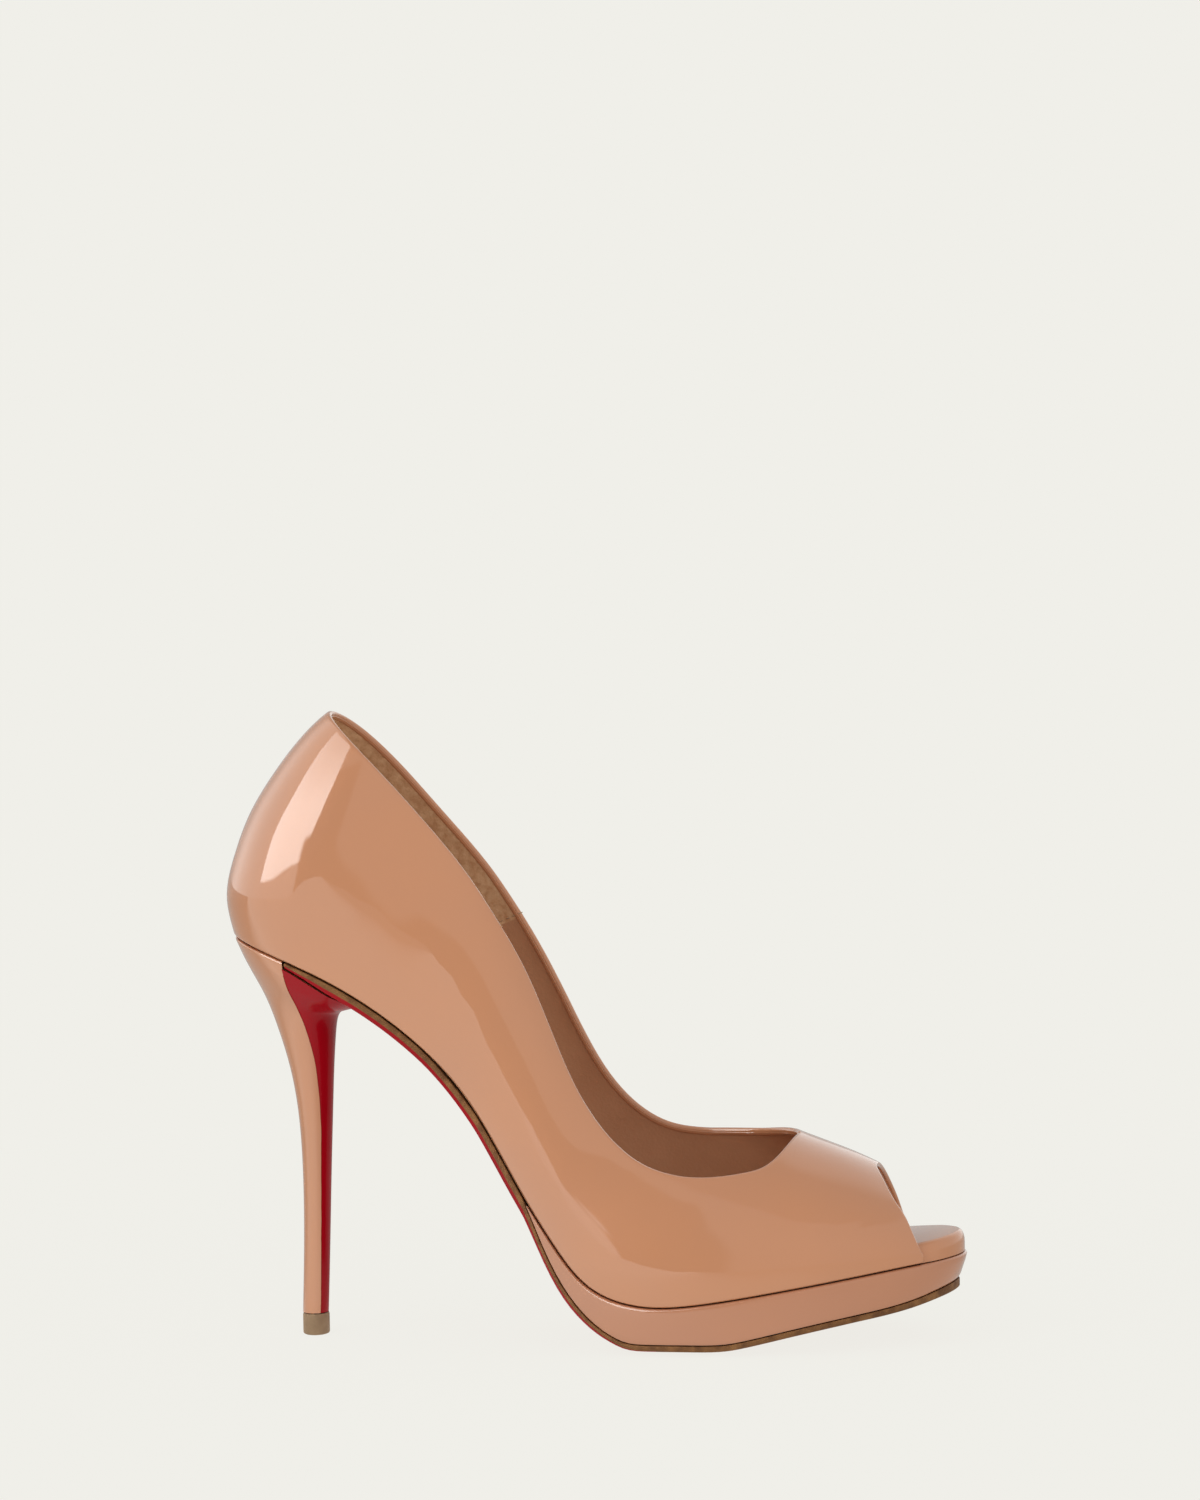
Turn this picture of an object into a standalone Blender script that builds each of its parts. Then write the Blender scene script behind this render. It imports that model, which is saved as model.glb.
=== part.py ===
"""Peep toe pump, right shoe: a platform sole, a tall slim heel and one hollow upper.

The toe points along +X, +Y is the inner side of the foot and the sole stands on z = 0.
Every piece takes its outline from the same last: a sole line in the side view, an outline in
the plan, and a family of cross sections that the upper's wall follows.
"""
import math

import bmesh
import bpy
import numpy as np

# Overall sizes of the last, in metres
LENGTH = 0.2145
BALL_WIDTH = 0.0745
WAIST_WIDTH = 0.0420
SEAT_WIDTH = 0.0500
SEAT_HEIGHT = 0.1180
BACK_RISE = 0.0760
INSTEP_RISE = 0.0402
TOE_SPRING = 0.0114
HEEL_ROUND = 0.0260
TOE_ROUND = 0.0440
SEAT_SETBACK = 0.0020

# Sizes of the pieces
UPPER_WALL = 0.0018
INSOLE_THICK = 0.0030
INSOLE_PILLOW = 0.0046
INSOLE_CROWN = 0.0016
INSOLE_INSET = 0.0005
INSOLE_LIP_INSET = 0.0006
PLATFORM_THICK = 0.0118
SOLE_THICK = 0.0017
SHANK_THICK = 0.0028
SHANK_CROWN = 0.0012
SOLE_EDGE_RISE = 0.0015
SOLE_TAIL = 0.45
SOLE_TAIL_LENGTH = 0.012
INSOLE_ROUND = 0.0016
PLATFORM_ROUND = 0.0006
TOE_UNDERCUT = 0.0022
TOP_LIFT_HEIGHT = 0.0062
BREAST_SKIN = 0.0010
BREAST_STEP = 0.0002
LIFT_ROUND = 0.0005
CLEAR = 0.0003

# Distances back from the tip of the toe
THROAT_BACK = 0.0482
PEEP_TOP_BACK = 0.0255
PEEP_FOOT_BACK = 0.0099
PILLOW_BACK = 0.0545
PILLOW_FULL_BACK = 0.0195
PLATFORM_START_BACK = 0.1240
UNDERCUT_BACK = 0.0535
FINE_STEPS_BACK = 0.0837
PEEP_SKEW = 0.0088
TOE_LIP_BACK = 0.0020
TOE_LIP_LENGTH = 0.0060

# Distances from the back of the last
SOLE_START_AT = 0.0206
HEEL_DEPTH = 0.0400

# Places along the length that those give
THROAT_AT = LENGTH - THROAT_BACK
PEEP_TOP_AT = LENGTH - PEEP_TOP_BACK
PEEP_FOOT_AT = LENGTH - PEEP_FOOT_BACK
PILLOW_FROM = LENGTH - PILLOW_BACK
PILLOW_TO = LENGTH - PILLOW_FULL_BACK
PLATFORM_START_AT = LENGTH - PLATFORM_START_BACK
UNDERCUT_FROM = LENGTH - UNDERCUT_BACK
FINE_STEPS_FROM = LENGTH - FINE_STEPS_BACK

# How finely the solids are cut
HEEL_STEPS = 8
SIDE_STEPS = 15
THROAT_STEPS = 9
VAMP_STEPS = 5
PEEP_STEPS = 7
WALL_ROWS = 10
PLATE_MID_STEPS = 24
PLATE_TOE_STEPS = 9
PLATE_ACROSS = 6
HEEL_RINGS = 17
HEEL_BACK_POINTS = 8
HEEL_FRONT_POINTS = 5


def column(table, name):
    """One column of a table whose first row names its columns."""
    place = table[0].index(name)
    return [row[place] for row in table[1:]]


def smooth_curve(places, values):
    """A natural cubic spline through a table's rows, as a function of the place."""
    x = np.array(places, float)
    y = np.array(values, float)
    gaps = np.diff(x)
    slopes = np.diff(y) / gaps
    count = len(x)
    system = np.eye(count)
    right = np.zeros(count)
    for i in range(1, count - 1):
        system[i, i - 1:i + 2] = gaps[i - 1], 2 * (gaps[i - 1] + gaps[i]), gaps[i]
        right[i] = 6 * (slopes[i] - slopes[i - 1])
    bend = np.linalg.solve(system, right)

    def at(place):
        p = np.asarray(place, float)
        i = np.clip(np.searchsorted(x, p) - 1, 0, count - 2)
        ahead, behind = x[i + 1] - p, p - x[i]
        gap = gaps[i]
        curve = (bend[i] * ahead ** 3 + bend[i + 1] * behind ** 3) / (6 * gap)
        line = (y[i] / gap - bend[i] * gap / 6) * ahead + (y[i + 1] / gap - bend[i + 1] * gap / 6) * behind
        return curve + line

    return at


# Side view of the sole: how much of the seat's height is left, how much of the toe spring is
# reached, and how deep the platform is, at shares of the length
SOLE_LINE = [
    ("at", "drop", "spring", "platform"),
    (0.000, 1.004, 0.000, 0.00),
    (0.095, 0.943, 0.000, 0.00),
    (0.190, 0.842, 0.000, 0.00),
    (0.280, 0.696, 0.000, 0.00),
    (0.350, 0.523, 0.000, 0.00),
    (0.415, 0.297, 0.000, 0.00),
    (0.450, 0.188, 0.000, 0.57),
    (0.490, 0.083, 0.000, 0.82),
    (0.545, 0.016, 0.000, 1.03),
    (0.610, 0.000, 0.000, 1.12),
    (0.660, 0.000, 0.080, 1.17),
    (0.765, 0.000, 0.380, 1.10),
    (0.865, 0.000, 0.690, 1.00),
    (0.930, 0.000, 0.860, 0.88),
    (1.000, 0.000, 0.990, 0.60),
]

# Plan view of the feather line, as shares of the named width, and the middle's swing to the inside
OUTLINE = [
    ("at", "outer", "inner", "width", "swing"),
    (0.00, 0.490, 0.490, SEAT_WIDTH, 0.000),
    (0.12, 0.500, 0.500, SEAT_WIDTH, 0.000),
    (0.24, 0.455, 0.440, SEAT_WIDTH, -0.002),
    (0.35, 0.520, 0.450, WAIST_WIDTH, -0.006),
    (0.46, 0.395, 0.350, BALL_WIDTH, -0.008),
    (0.55, 0.475, 0.440, BALL_WIDTH, -0.006),
    (0.64, 0.502, 0.495, BALL_WIDTH, 0.000),
    (0.73, 0.485, 0.500, BALL_WIDTH, 0.008),
    (0.83, 0.440, 0.460, BALL_WIDTH, 0.014),
    (0.92, 0.405, 0.415, BALL_WIDTH, 0.018),
    (1.00, 0.380, 0.390, BALL_WIDTH, 0.020),
]

# Cross sections of the last: swell beyond the feather line and its height, how full the
# shoulder is, and the height of the crown with the middle's offset, as shares
SECTIONS = [
    ("at", "swell", "swell_at", "shoulder", "crown", "rise", "lean"),
    (0.00, 0.080, 0.27, 0.84, 1.42, BACK_RISE, 0.00),
    (0.12, 0.078, 0.27, 0.84, 1.39, BACK_RISE, 0.00),
    (0.24, 0.085, 0.28, 0.86, 1.28, BACK_RISE, 0.01),
    (0.35, 0.095, 0.30, 0.90, 1.19, BACK_RISE, 0.02),
    (0.46, 0.070, 0.32, 0.84, 1.92, INSTEP_RISE, 0.04),
    (0.58, 0.058, 0.36, 0.76, 1.57, INSTEP_RISE, 0.05),
    (0.70, 0.052, 0.38, 0.74, 1.24, INSTEP_RISE, 0.05),
    (0.775, 0.050, 0.40, 0.74, 1.00, INSTEP_RISE, 0.05),
    (0.82, 0.048, 0.42, 0.72, 0.87, INSTEP_RISE, 0.045),
    (0.881, 0.044, 0.45, 0.68, 0.68, INSTEP_RISE, 0.045),
    (0.95, 0.040, 0.50, 0.64, 0.42, INSTEP_RISE, 0.045),
    (1.00, 0.030, 0.55, 0.62, 0.22, INSTEP_RISE, 0.045),
]

# The collar's height as a share of the crown, on both sides, at shares of the way to the throat
TOPLINE = [
    ("at", "outer", "inner"),
    (0.0000, 0.735, 0.735),
    (0.1896, 0.727, 0.727),
    (0.3031, 0.718, 0.706),
    (0.3998, 0.713, 0.708),
    (0.4837, 0.760, 0.772),
    (0.5482, 0.800, 0.825),
    (0.5933, 0.762, 0.800),
    (0.6707, 0.690, 0.735),
    (0.7352, 0.650, 0.715),
    (0.7997, 0.645, 0.742),
    (0.8642, 0.668, 0.792),
    (0.9287, 0.735, 0.866),
    (0.9764, 0.862, 0.955),
    (1.0000, 1.000, 1.000),
]

# The front edge of the upper as a share of the crown, from the top of the opening to its foot
PEEP_EDGE = [
    ("at", "height"),
    (0.00, 1.00),
    (0.20, 0.89),
    (0.45, 0.77),
    (0.70, 0.56),
    (1.00, 0.12),
]

# The back of the upper in the side view: rise and setback as shares of the back's rise
BACK_LINE = [
    ("rise", "setback"),
    (0.00, 0.0263),
    (0.13, 0.0000),
    (0.30, 0.0303),
    (0.47, 0.0895),
    (0.65, 0.1816),
    (0.84, 0.2974),
    (1.00, 0.4145),
    (1.15, 0.5526),
]

# The heel from the seat to the top lift: where its back, widest place, cover's edge and front
# lie as shares of its depth, its half width as a share of the seat's, and how far each ring
# keeps the slope of the seat
HEEL_SHAPE = [
    ("down", "back", "widest", "edge", "front", "half", "tilt"),
    (0.00, 0.0500, 0.7000, 0.4925, 1.0000, 0.496, 1.00),
    (0.07, 0.1375, 0.6175, 0.5200, 0.8750, 0.406, 0.84),
    (0.15, 0.2525, 0.5725, 0.5650, 0.8000, 0.298, 0.52),
    (0.24, 0.3475, 0.5725, 0.6150, 0.7750, 0.218, 0.24),
    (0.34, 0.4275, 0.5900, 0.6550, 0.7600, 0.168, 0.07),
    (0.46, 0.4850, 0.6125, 0.6750, 0.7450, 0.138, 0.00),
    (0.60, 0.5100, 0.6200, 0.6700, 0.7275, 0.122, 0.00),
    (0.83, 0.5075, 0.6050, 0.6525, 0.7025, 0.106, 0.00),
    (1.00, 0.4900, 0.5875, 0.6375, 0.6825, 0.098, 0.00),
]

TILT_ENDS = 0.46
SEAT_FADE = 0.012
SOLE_EDGE_FROM = 0.56
FLAT_RUN_IN = 0.0008
SLOPE_STEP = 0.0005
ACROSS_SHIFT = -0.0004

OUTER, INNER = -1, 1
SIDE_NAMES = {OUTER: "outer", INNER: "inner"}
TO_MIDDLE = (-LENGTH / 2, ACROSS_SHIFT, 0.0)

PATENT = (0.60, 0.27, 0.17)
SOCK = (0.48, 0.24, 0.15)
LACQUER = (0.30, 0.004, 0.012)
RUBBER = (0.30, 0.20, 0.12)

along_sole = column(SOLE_LINE, "at")
drop_at = smooth_curve(along_sole, column(SOLE_LINE, "drop"))
spring_at = smooth_curve(along_sole, column(SOLE_LINE, "spring"))
platform_at = smooth_curve(along_sole, column(SOLE_LINE, "platform"))
swing_at = smooth_curve(column(OUTLINE, "at"), column(OUTLINE, "swing"))
along_sections = column(SECTIONS, "at")
swell_at = smooth_curve(along_sections, column(SECTIONS, "swell"))
swell_height_at = smooth_curve(along_sections, column(SECTIONS, "swell_at"))
shoulder_at = smooth_curve(along_sections, column(SECTIONS, "shoulder"))
lean_at = smooth_curve(along_sections, column(SECTIONS, "lean"))
crown_heights = np.array(column(SECTIONS, "crown")) * np.array(column(SECTIONS, "rise"))
crown_at = smooth_curve(along_sections, crown_heights)
back_at = smooth_curve(column(BACK_LINE, "rise"), column(BACK_LINE, "setback"))
peep_at = smooth_curve(column(PEEP_EDGE, "at"), column(PEEP_EDGE, "height"))
heel_curve = {}
for name in HEEL_SHAPE[0][1:]:
    heel_curve[name] = smooth_curve(column(HEEL_SHAPE, "down"), column(HEEL_SHAPE, name))
half_width_at = {}
topline_at = {}
for side, name in SIDE_NAMES.items():
    shares = np.array(column(OUTLINE, name)) * np.array(column(OUTLINE, "width"))
    half_width_at[side] = smooth_curve(column(OUTLINE, "at"), shares)
    topline_at[side] = smooth_curve(column(TOPLINE, "at"), column(TOPLINE, name))


def feather_height(x):
    """Height of the feather line, where the upper meets what it stands on."""
    ball = SOLE_THICK + 2 * CLEAR + PLATFORM_THICK
    share = x / LENGTH
    return ball + (SEAT_HEIGHT - ball) * drop_at(share) + TOE_SPRING * spring_at(share)


def stretch(x):
    """Vertical length of one unit measured square to the sloping sole."""
    slope = (feather_height(x + SLOPE_STEP) - feather_height(x - SLOPE_STEP)) / (2 * SLOPE_STEP)
    return np.sqrt(1 + slope ** 2)


def end_round(x):
    """How far the round seat and the round toe narrow the outline."""
    heel = np.clip((x - SEAT_SETBACK) / HEEL_ROUND, 0, 1)
    toe = np.clip((LENGTH - x) / TOE_ROUND, 0, 1)
    return np.sqrt(1 - (1 - heel) ** 2) * np.sqrt(1 - (1 - toe) ** 2)


def middle(x):
    return swing_at(x / LENGTH) * BALL_WIDTH


def across_share(x, y):
    """0 on the middle line, 1 at the edge of the widest outline."""
    half = (half_width_at[OUTER](x / LENGTH) + half_width_at[INNER](x / LENGTH)) / 2
    return np.clip(np.abs(y - middle(x)) / half, 0, 1)


def sole_top(x, y):
    """Upper face of the outsole: against the upper in the shank, under the platform in front."""
    depth = np.clip(platform_at(x / LENGTH), 0, None)
    line = feather_height(x) - CLEAR * stretch(x) - PLATFORM_THICK * depth
    to_edge = np.clip((across_share(x, y) - SOLE_EDGE_FROM) / (1 - SOLE_EDGE_FROM), 0, 1)
    raised = SOLE_EDGE_RISE * np.clip(depth, 0, 1) * to_edge ** 2
    near_floor = np.clip(FLAT_RUN_IN - np.abs(line - SOLE_THICK), 0, None)
    return np.clip(line, SOLE_THICK, None) + near_floor ** 2 / (4 * FLAT_RUN_IN) + raised


def sole_bottom(x, y):
    """Underside of the outsole: flat under the ball and crowned along the shank."""
    front = np.clip(platform_at(x / LENGTH), 0, 1)
    rise = np.clip(sole_top(x, y) / SOLE_THICK - 1, 0, 1)
    slope = 1 + (stretch(x) - 1) * rise
    thin = SOLE_TAIL + (1 - SOLE_TAIL) * np.clip((x - SOLE_START_AT) / SOLE_TAIL_LENGTH, 0, 1)
    thick = (SHANK_THICK * thin + (SOLE_THICK - SHANK_THICK) * front) * slope
    crown = SHANK_CROWN * thin * (1 - front) * (1 - across_share(x, y) ** 2) * slope
    return sole_top(x, y) - thick - crown


def under_sole(x):
    """Height that the front of the heel reaches under the middle of the outsole."""
    return sole_bottom(x, middle(x)) - CLEAR * stretch(x)


def section(side, x, turn):
    """A cross section's point: its distance across and its height over the feather line."""
    share = x / LENGTH
    foot = half_width_at[side](share)
    crown = crown_at(share)
    lean = lean_at(share) * BALL_WIDTH * side
    across = [foot, foot + swell_at(share) * BALL_WIDTH, shoulder_at(share) * foot + lean, lean]
    up = [0 * crown, swell_height_at(share) * crown, crown, crown]
    rest = 1 - turn
    weights = [rest ** 3, 3 * rest ** 2 * turn, 3 * rest * turn ** 2, turn ** 3]
    return sum(w * a for w, a in zip(weights, across)), sum(w * u for w, u in zip(weights, up))


def peep_foot(side):
    """Where the opening's edge meets the sole: further back on the inner side."""
    return PEEP_FOOT_AT - (PEEP_SKEW if side == INNER else 0)


class Column:
    """One line up the wall of the last, leaning with the back near the heel."""

    def __init__(self, side, base, angle=None):
        self.side, self.base, self.angle = side, base, angle
        fade = np.clip((base - SEAT_SETBACK - HEEL_ROUND) / (0.5 * LENGTH - SEAT_SETBACK - HEEL_ROUND), 0, 1)
        self.follow = (1 - fade) ** 2 * (1 + 2 * fade)

    def at(self, turn):
        """x, y and the height over the feather line at shares of the way to the crown."""
        x = np.full_like(turn, self.base)
        for _ in range(12):
            up = section(self.side, x, turn)[1]
            back = BACK_RISE * back_at(up / BACK_RISE)
            if self.angle is None:
                x = self.base + self.follow * (back - SEAT_SETBACK)
            else:
                x = back + HEEL_ROUND * (1 - math.cos(self.angle))
        across = section(self.side, x, turn)[0]
        if self.angle is not None:
            across = across * math.sin(self.angle)
        else:
            toe = np.clip((LENGTH - x) / TOE_ROUND, 0, 1)
            across = across * np.sqrt(1 - (1 - toe) ** 2)
        return x, middle(x) + self.side * across, up

    def limit(self, x):
        """Height of the upper's edge over the feather line."""
        crown = crown_at(x / LENGTH)
        if self.base >= PEEP_TOP_AT:
            return crown * peep_at((x - PEEP_TOP_AT) / (peep_foot(self.side) - PEEP_TOP_AT))
        own = topline_at[self.side](x / THROAT_AT)
        if self.angle is None:
            return crown * own
        other = topline_at[-self.side](x / THROAT_AT)
        return crown * (own + (other - own) * 0.5 * (1 - math.sin(self.angle)))

    def end(self):
        """The share of the way to the crown where the upper ends."""
        if THROAT_AT - 1e-6 <= self.base <= PEEP_TOP_AT + 1e-6:
            return 1.0
        low, high = 0.0, 1.0
        for _ in range(40):
            half = (low + high) / 2
            x, _, up = self.at(np.array([half]))
            if up[0] < self.limit(x)[0]:
                low = half
            else:
                high = half
        return low

    def points(self, rows):
        x, y, up = self.at(np.linspace(0, self.end(), rows + 1))
        return np.stack([x, y, feather_height(x) + up], 1)


def upper_columns(side):
    """The upper's columns from the back seam to the foot of the peep opening."""
    columns = []
    for i in range(HEEL_STEPS):
        columns.append(Column(side, SEAT_SETBACK, math.pi / 2 * i / HEEL_STEPS))
    side_from = SEAT_SETBACK + HEEL_ROUND
    for i in range(SIDE_STEPS):
        columns.append(Column(side, side_from + (FINE_STEPS_FROM - side_from) * i / SIDE_STEPS))
    for i in range(THROAT_STEPS):
        columns.append(Column(side, THROAT_AT - (THROAT_AT - FINE_STEPS_FROM) * (1 - i / THROAT_STEPS) ** 2))
    for i in range(VAMP_STEPS):
        columns.append(Column(side, THROAT_AT + (PEEP_TOP_AT - THROAT_AT) * i / VAMP_STEPS))
    for i in range(PEEP_STEPS + 1):
        columns.append(Column(side, PEEP_TOP_AT + (peep_foot(side) - PEEP_TOP_AT) * (i / PEEP_STEPS) ** 1.6))
    return columns


def surface_material(name, colour, roughness):
    material = bpy.data.materials.new(name)
    material.use_nodes = True
    shader = material.node_tree.nodes["Principled BSDF"]
    shader.inputs["Base Color"].default_value = (*colour, 1)
    shader.inputs["Roughness"].default_value = roughness
    shader.inputs["Metallic"].default_value = 0.0
    return material


def make_object(name, faces, colour, roughness):
    """Make one object, its origin in the part's middle, from faces given as points of the last."""
    mesh = bpy.data.meshes.new(name)
    bm = bmesh.new()
    found = {}
    for face in faces:
        corners = []
        for point in face:
            key = tuple(round(float(value + shift), 7) for value, shift in zip(point, TO_MIDDLE))
            if key not in found:
                found[key] = bm.verts.new(key)
            if found[key] not in corners:
                corners.append(found[key])
        if len(corners) > 2:
            bm.faces.new(corners)
    bm.to_mesh(mesh)
    bm.free()
    obj = bpy.data.objects.new(name, mesh)
    bpy.context.scene.collection.objects.link(obj)
    mesh.materials.append(surface_material(name, colour, roughness))
    mesh.shade_smooth()
    mesh.set_sharp_from_angle(angle=math.radians(35))
    return obj


def face_out(obj):
    bm = bmesh.new()
    bm.from_mesh(obj.data)
    bmesh.ops.recalc_face_normals(bm, faces=bm.faces)
    bm.to_mesh(obj.data)
    bm.free()


def strip(first, second):
    """Quads between two rows of points."""
    return [(first[i], first[i + 1], second[i + 1], second[i]) for i in range(len(first) - 1)]


def make_upper():
    faces = []
    for side in (OUTER, INNER):
        rows = [c.points(WALL_ROWS) for c in upper_columns(side)]
        for first, second in zip(rows, rows[1:]):
            quads = strip(first, second)
            faces += [quad[::-1] if side == OUTER else quad for quad in quads]
    upper = make_object("upper", faces, PATENT, 0.12)
    wall = upper.modifiers.new("wall", "SOLIDIFY")
    wall.thickness = UPPER_WALL
    wall.offset = -1
    wall.use_even_offset = True


def stations(start=SEAT_SETBACK):
    """Places along the sole that every sheet shares, closer together at the round ends."""
    side_from = SEAT_SETBACK + HEEL_ROUND
    heel_turn = np.linspace(0, math.pi / 2, HEEL_STEPS, endpoint=False)
    toe_turn = np.linspace(0, math.pi / 2, PLATE_TOE_STEPS + 1)[1:]
    places = np.concatenate([
        side_from - HEEL_ROUND * np.cos(heel_turn),
        np.linspace(side_from, LENGTH - TOE_ROUND, PLATE_MID_STEPS + 1),
        LENGTH - TOE_ROUND * (1 - np.sin(toe_turn)),
    ])
    kept = places[places > start + CLEAR]
    return np.concatenate([[start], kept])


def outline(places):
    """The feather line's points and outward directions in plan, for the outer and inner side."""
    edges = {}
    for side in (OUTER, INNER):
        across = half_width_at[side](places / LENGTH) * end_round(places)
        edges[side] = np.stack([places, middle(places) + side * across], 1)
    around = np.concatenate([edges[OUTER], edges[INNER][::-1]])
    closed_back = np.allclose(around[0], around[-1])
    closed_front = np.allclose(edges[OUTER][-1], edges[INNER][-1])
    result = {}
    for side in (OUTER, INNER):
        points = edges[side]
        ahead = np.roll(points, -1, 0)
        behind = np.roll(points, 1, 0)
        ahead[-1] = edges[-side][-2] if closed_front else points[-1]
        behind[0] = edges[-side][1] if closed_back else points[0]
        along = ahead - behind
        along /= np.linalg.norm(along, axis=1)[:, None]
        result[side] = (points, np.stack([-along[:, 1], along[:, 0]], 1) * side)
    return result


def plate_faces(places, top, bottom, edge):
    """A sheet over the outline. Edge gives each row of its side: outset and share from top to bottom."""
    sides = outline(places)
    rings = []
    for i in range(len(places)):
        edge_points = {}
        for side in (OUTER, INNER):
            point, out = sides[side][0][i], sides[side][1][i]
            edge_points[side] = []
            for outset, share in edge(places[i]):
                x, y = point + out * outset
                z = top(x, y) + (bottom(x, y) - top(x, y)) * share
                edge_points[side].append((x, y, z))
        ring = []
        for surface, row in ((top, 0), (bottom, -1)):
            left, right = edge_points[OUTER][row], edge_points[INNER][row]
            sheet = [left]
            for j in range(1, PLATE_ACROSS):
                share = 0.5 - 0.5 * math.cos(math.pi * j / PLATE_ACROSS)
                x = left[0] + (right[0] - left[0]) * share
                y = left[1] + (right[1] - left[1]) * share
                sheet.append((x, y, surface(x, y)))
            sheet.append(right)
            ring.append(sheet)
        upper_row, lower_row = ring
        rings.append(upper_row + edge_points[INNER][1:-1] + lower_row[::-1] + edge_points[OUTER][1:-1][::-1])
    faces = []
    for first, second in zip(rings, rings[1:]):
        faces += strip(first + first[:1], second + second[:1])
    blunt = [ring for ring in (rings[0], rings[-1]) if math.dist(ring[0], ring[PLATE_ACROSS]) > CLEAR]
    for ring in blunt:
        low = PLATE_ACROSS + 1 + len(edge(places[0])) - 2
        upper_row, lower_row = ring[:PLATE_ACROSS + 1], ring[low:low + PLATE_ACROSS + 1][::-1]
        faces += strip(upper_row, lower_row)
        faces.append([upper_row[-1]] + ring[PLATE_ACROSS + 1:low] + [lower_row[-1]])
        faces.append([lower_row[0]] + ring[low + PLATE_ACROSS + 1:] + [upper_row[0]])
    return faces


def rounded_edge(inset, drop, steps=3):
    """Rows of a side whose top corner is rounded by the inset over a share of its depth."""
    rows = []
    for i in range(steps):
        angle = math.pi / 2 * i / steps
        rows.append((inset * (math.sin(angle) - 1), drop * (1 - math.cos(angle))))
    return rows + [(0.0, drop), (0.0, 1.0)]


def make_insole():
    """The sock and board inside the upper, a soft pillow where the toes look out."""
    inside = UPPER_WALL + CLEAR

    def toe_share(x):
        t = np.clip((x - PEEP_FOOT_AT + TOE_LIP_BACK) / TOE_LIP_LENGTH, 0, 1)
        return t * t * (3 - 2 * t)

    def top(x, y):
        front = np.clip((x - PILLOW_FROM) / (PILLOW_TO - PILLOW_FROM), 0, 1)
        thick = INSOLE_THICK + (INSOLE_PILLOW - INSOLE_THICK) * front
        return feather_height(x) + thick * stretch(x) + INSOLE_CROWN * front * (1 - across_share(x, y) ** 2)

    def bottom(x, y):
        return feather_height(x) + 0 * y

    def edge(x):
        inset = (inside + INSOLE_INSET) * (1 - toe_share(x)) + INSOLE_LIP_INSET * toe_share(x)
        return [(outset - inset, share) for outset, share in rounded_edge(INSOLE_ROUND, 0.6)]

    faces = plate_faces(stations(), top, bottom, edge)
    face_out(make_object("insole", faces, SOCK, 0.35))


def toe_undercut(x):
    """How far the sole's edge draws in under the toe."""
    return -TOE_UNDERCUT * np.clip((x - UNDERCUT_FROM) / (LENGTH - UNDERCUT_FROM), 0, 1)


def make_platform():
    def top(x, y):
        return feather_height(x) - CLEAR * stretch(x)

    def bottom(x, y):
        return sole_top(x, y) + CLEAR * stretch(x)

    def edge(x):
        rows = rounded_edge(PLATFORM_ROUND, 0.12)
        return rows[:-1] + [(0.5 * toe_undercut(x), 0.6), (toe_undercut(x), 1.0)]

    faces = plate_faces(stations(PLATFORM_START_AT), top, bottom, edge)
    face_out(make_object("platform", faces, PATENT, 0.12))


def make_outsole():
    def edge(x):
        return [(toe_undercut(x), 0.0), (toe_undercut(x), 1.0)]

    faces = plate_faces(stations(SOLE_START_AT), sole_top, sole_bottom, edge)
    face_out(make_object("outsole", faces, LACQUER, 0.15))


def heel_ring(down, inset, part, gap=0.0):
    """Half a ring of the heel: its back, to the cover's edge, or its front, from a gap past it."""
    values = {name: float(heel_curve[name](down)) for name in heel_curve}
    for name in ("back", "widest", "edge", "front"):
        values[name] *= HEEL_DEPTH
    values["half"] *= SEAT_WIDTH
    seat_top = feather_height(SEAT_SETBACK) - CLEAR * stretch(SEAT_SETBACK)
    level = seat_top + (TOP_LIFT_HEIGHT + CLEAR - seat_top) * down
    tilt = values["tilt"] if down < TILT_ENDS else 0.0
    to_back = values["widest"] - values["back"]
    to_front = values["front"] - values["widest"]
    past = values["edge"] + gap - values["widest"]
    edge_angle = math.acos(-past / ((to_front if past > 0 else to_back) - inset))
    if part == "back":
        angles = np.linspace(0, edge_angle, HEEL_BACK_POINTS + 1)
    else:
        angles = np.linspace(edge_angle, math.pi, HEEL_FRONT_POINTS + 1)
    points = []
    for angle in angles:
        reach = to_back if angle < math.pi / 2 else to_front
        x = values["widest"] - (reach - inset) * math.cos(angle)
        y = (values["half"] - inset) * math.sin(angle)
        seat = under_sole(x)
        if part == "back":
            near_edge = np.clip(1 + (x - values["edge"]) / SEAT_FADE, 0, 1) if down > 0 else 0
            seat += (feather_height(x) - seat) * (1 - near_edge ** 2 * (3 - 2 * near_edge))
        points.append((x, y, level + tilt * (seat - feather_height(values["back"]))))
    return points


def halves(points):
    """A half ring on the outer and on the inner side."""
    return [[(x, side * y, z) for x, y, z in points] for side in (OUTER, INNER)]


def stack_faces(rings):
    """Faces of a stack of rings, each given as its outer and inner half, with both ends closed."""
    faces = []
    for (near, far), (near_next, far_next) in zip(rings, rings[1:]):
        faces += strip(near, near_next) + strip(far, far_next)
    for near, far in (rings[0], rings[-1]):
        faces += strip(near, far)
    return faces


def heel_levels():
    """Shares of the way down the heel, closer together where it flares into the seat."""
    return np.linspace(0, 1, HEEL_RINGS) ** 1.35


def make_heel():
    """The covered heel: full round at the back, stepped in where the front's cover lies."""
    rings = []
    for down in heel_levels():
        rings.append(halves(heel_ring(down, 0.0, "back") + heel_ring(down, BREAST_SKIN + CLEAR, "front", CLEAR / 2)))
    face_out(make_object("heel", stack_faces(rings), PATENT, 0.12))


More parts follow.
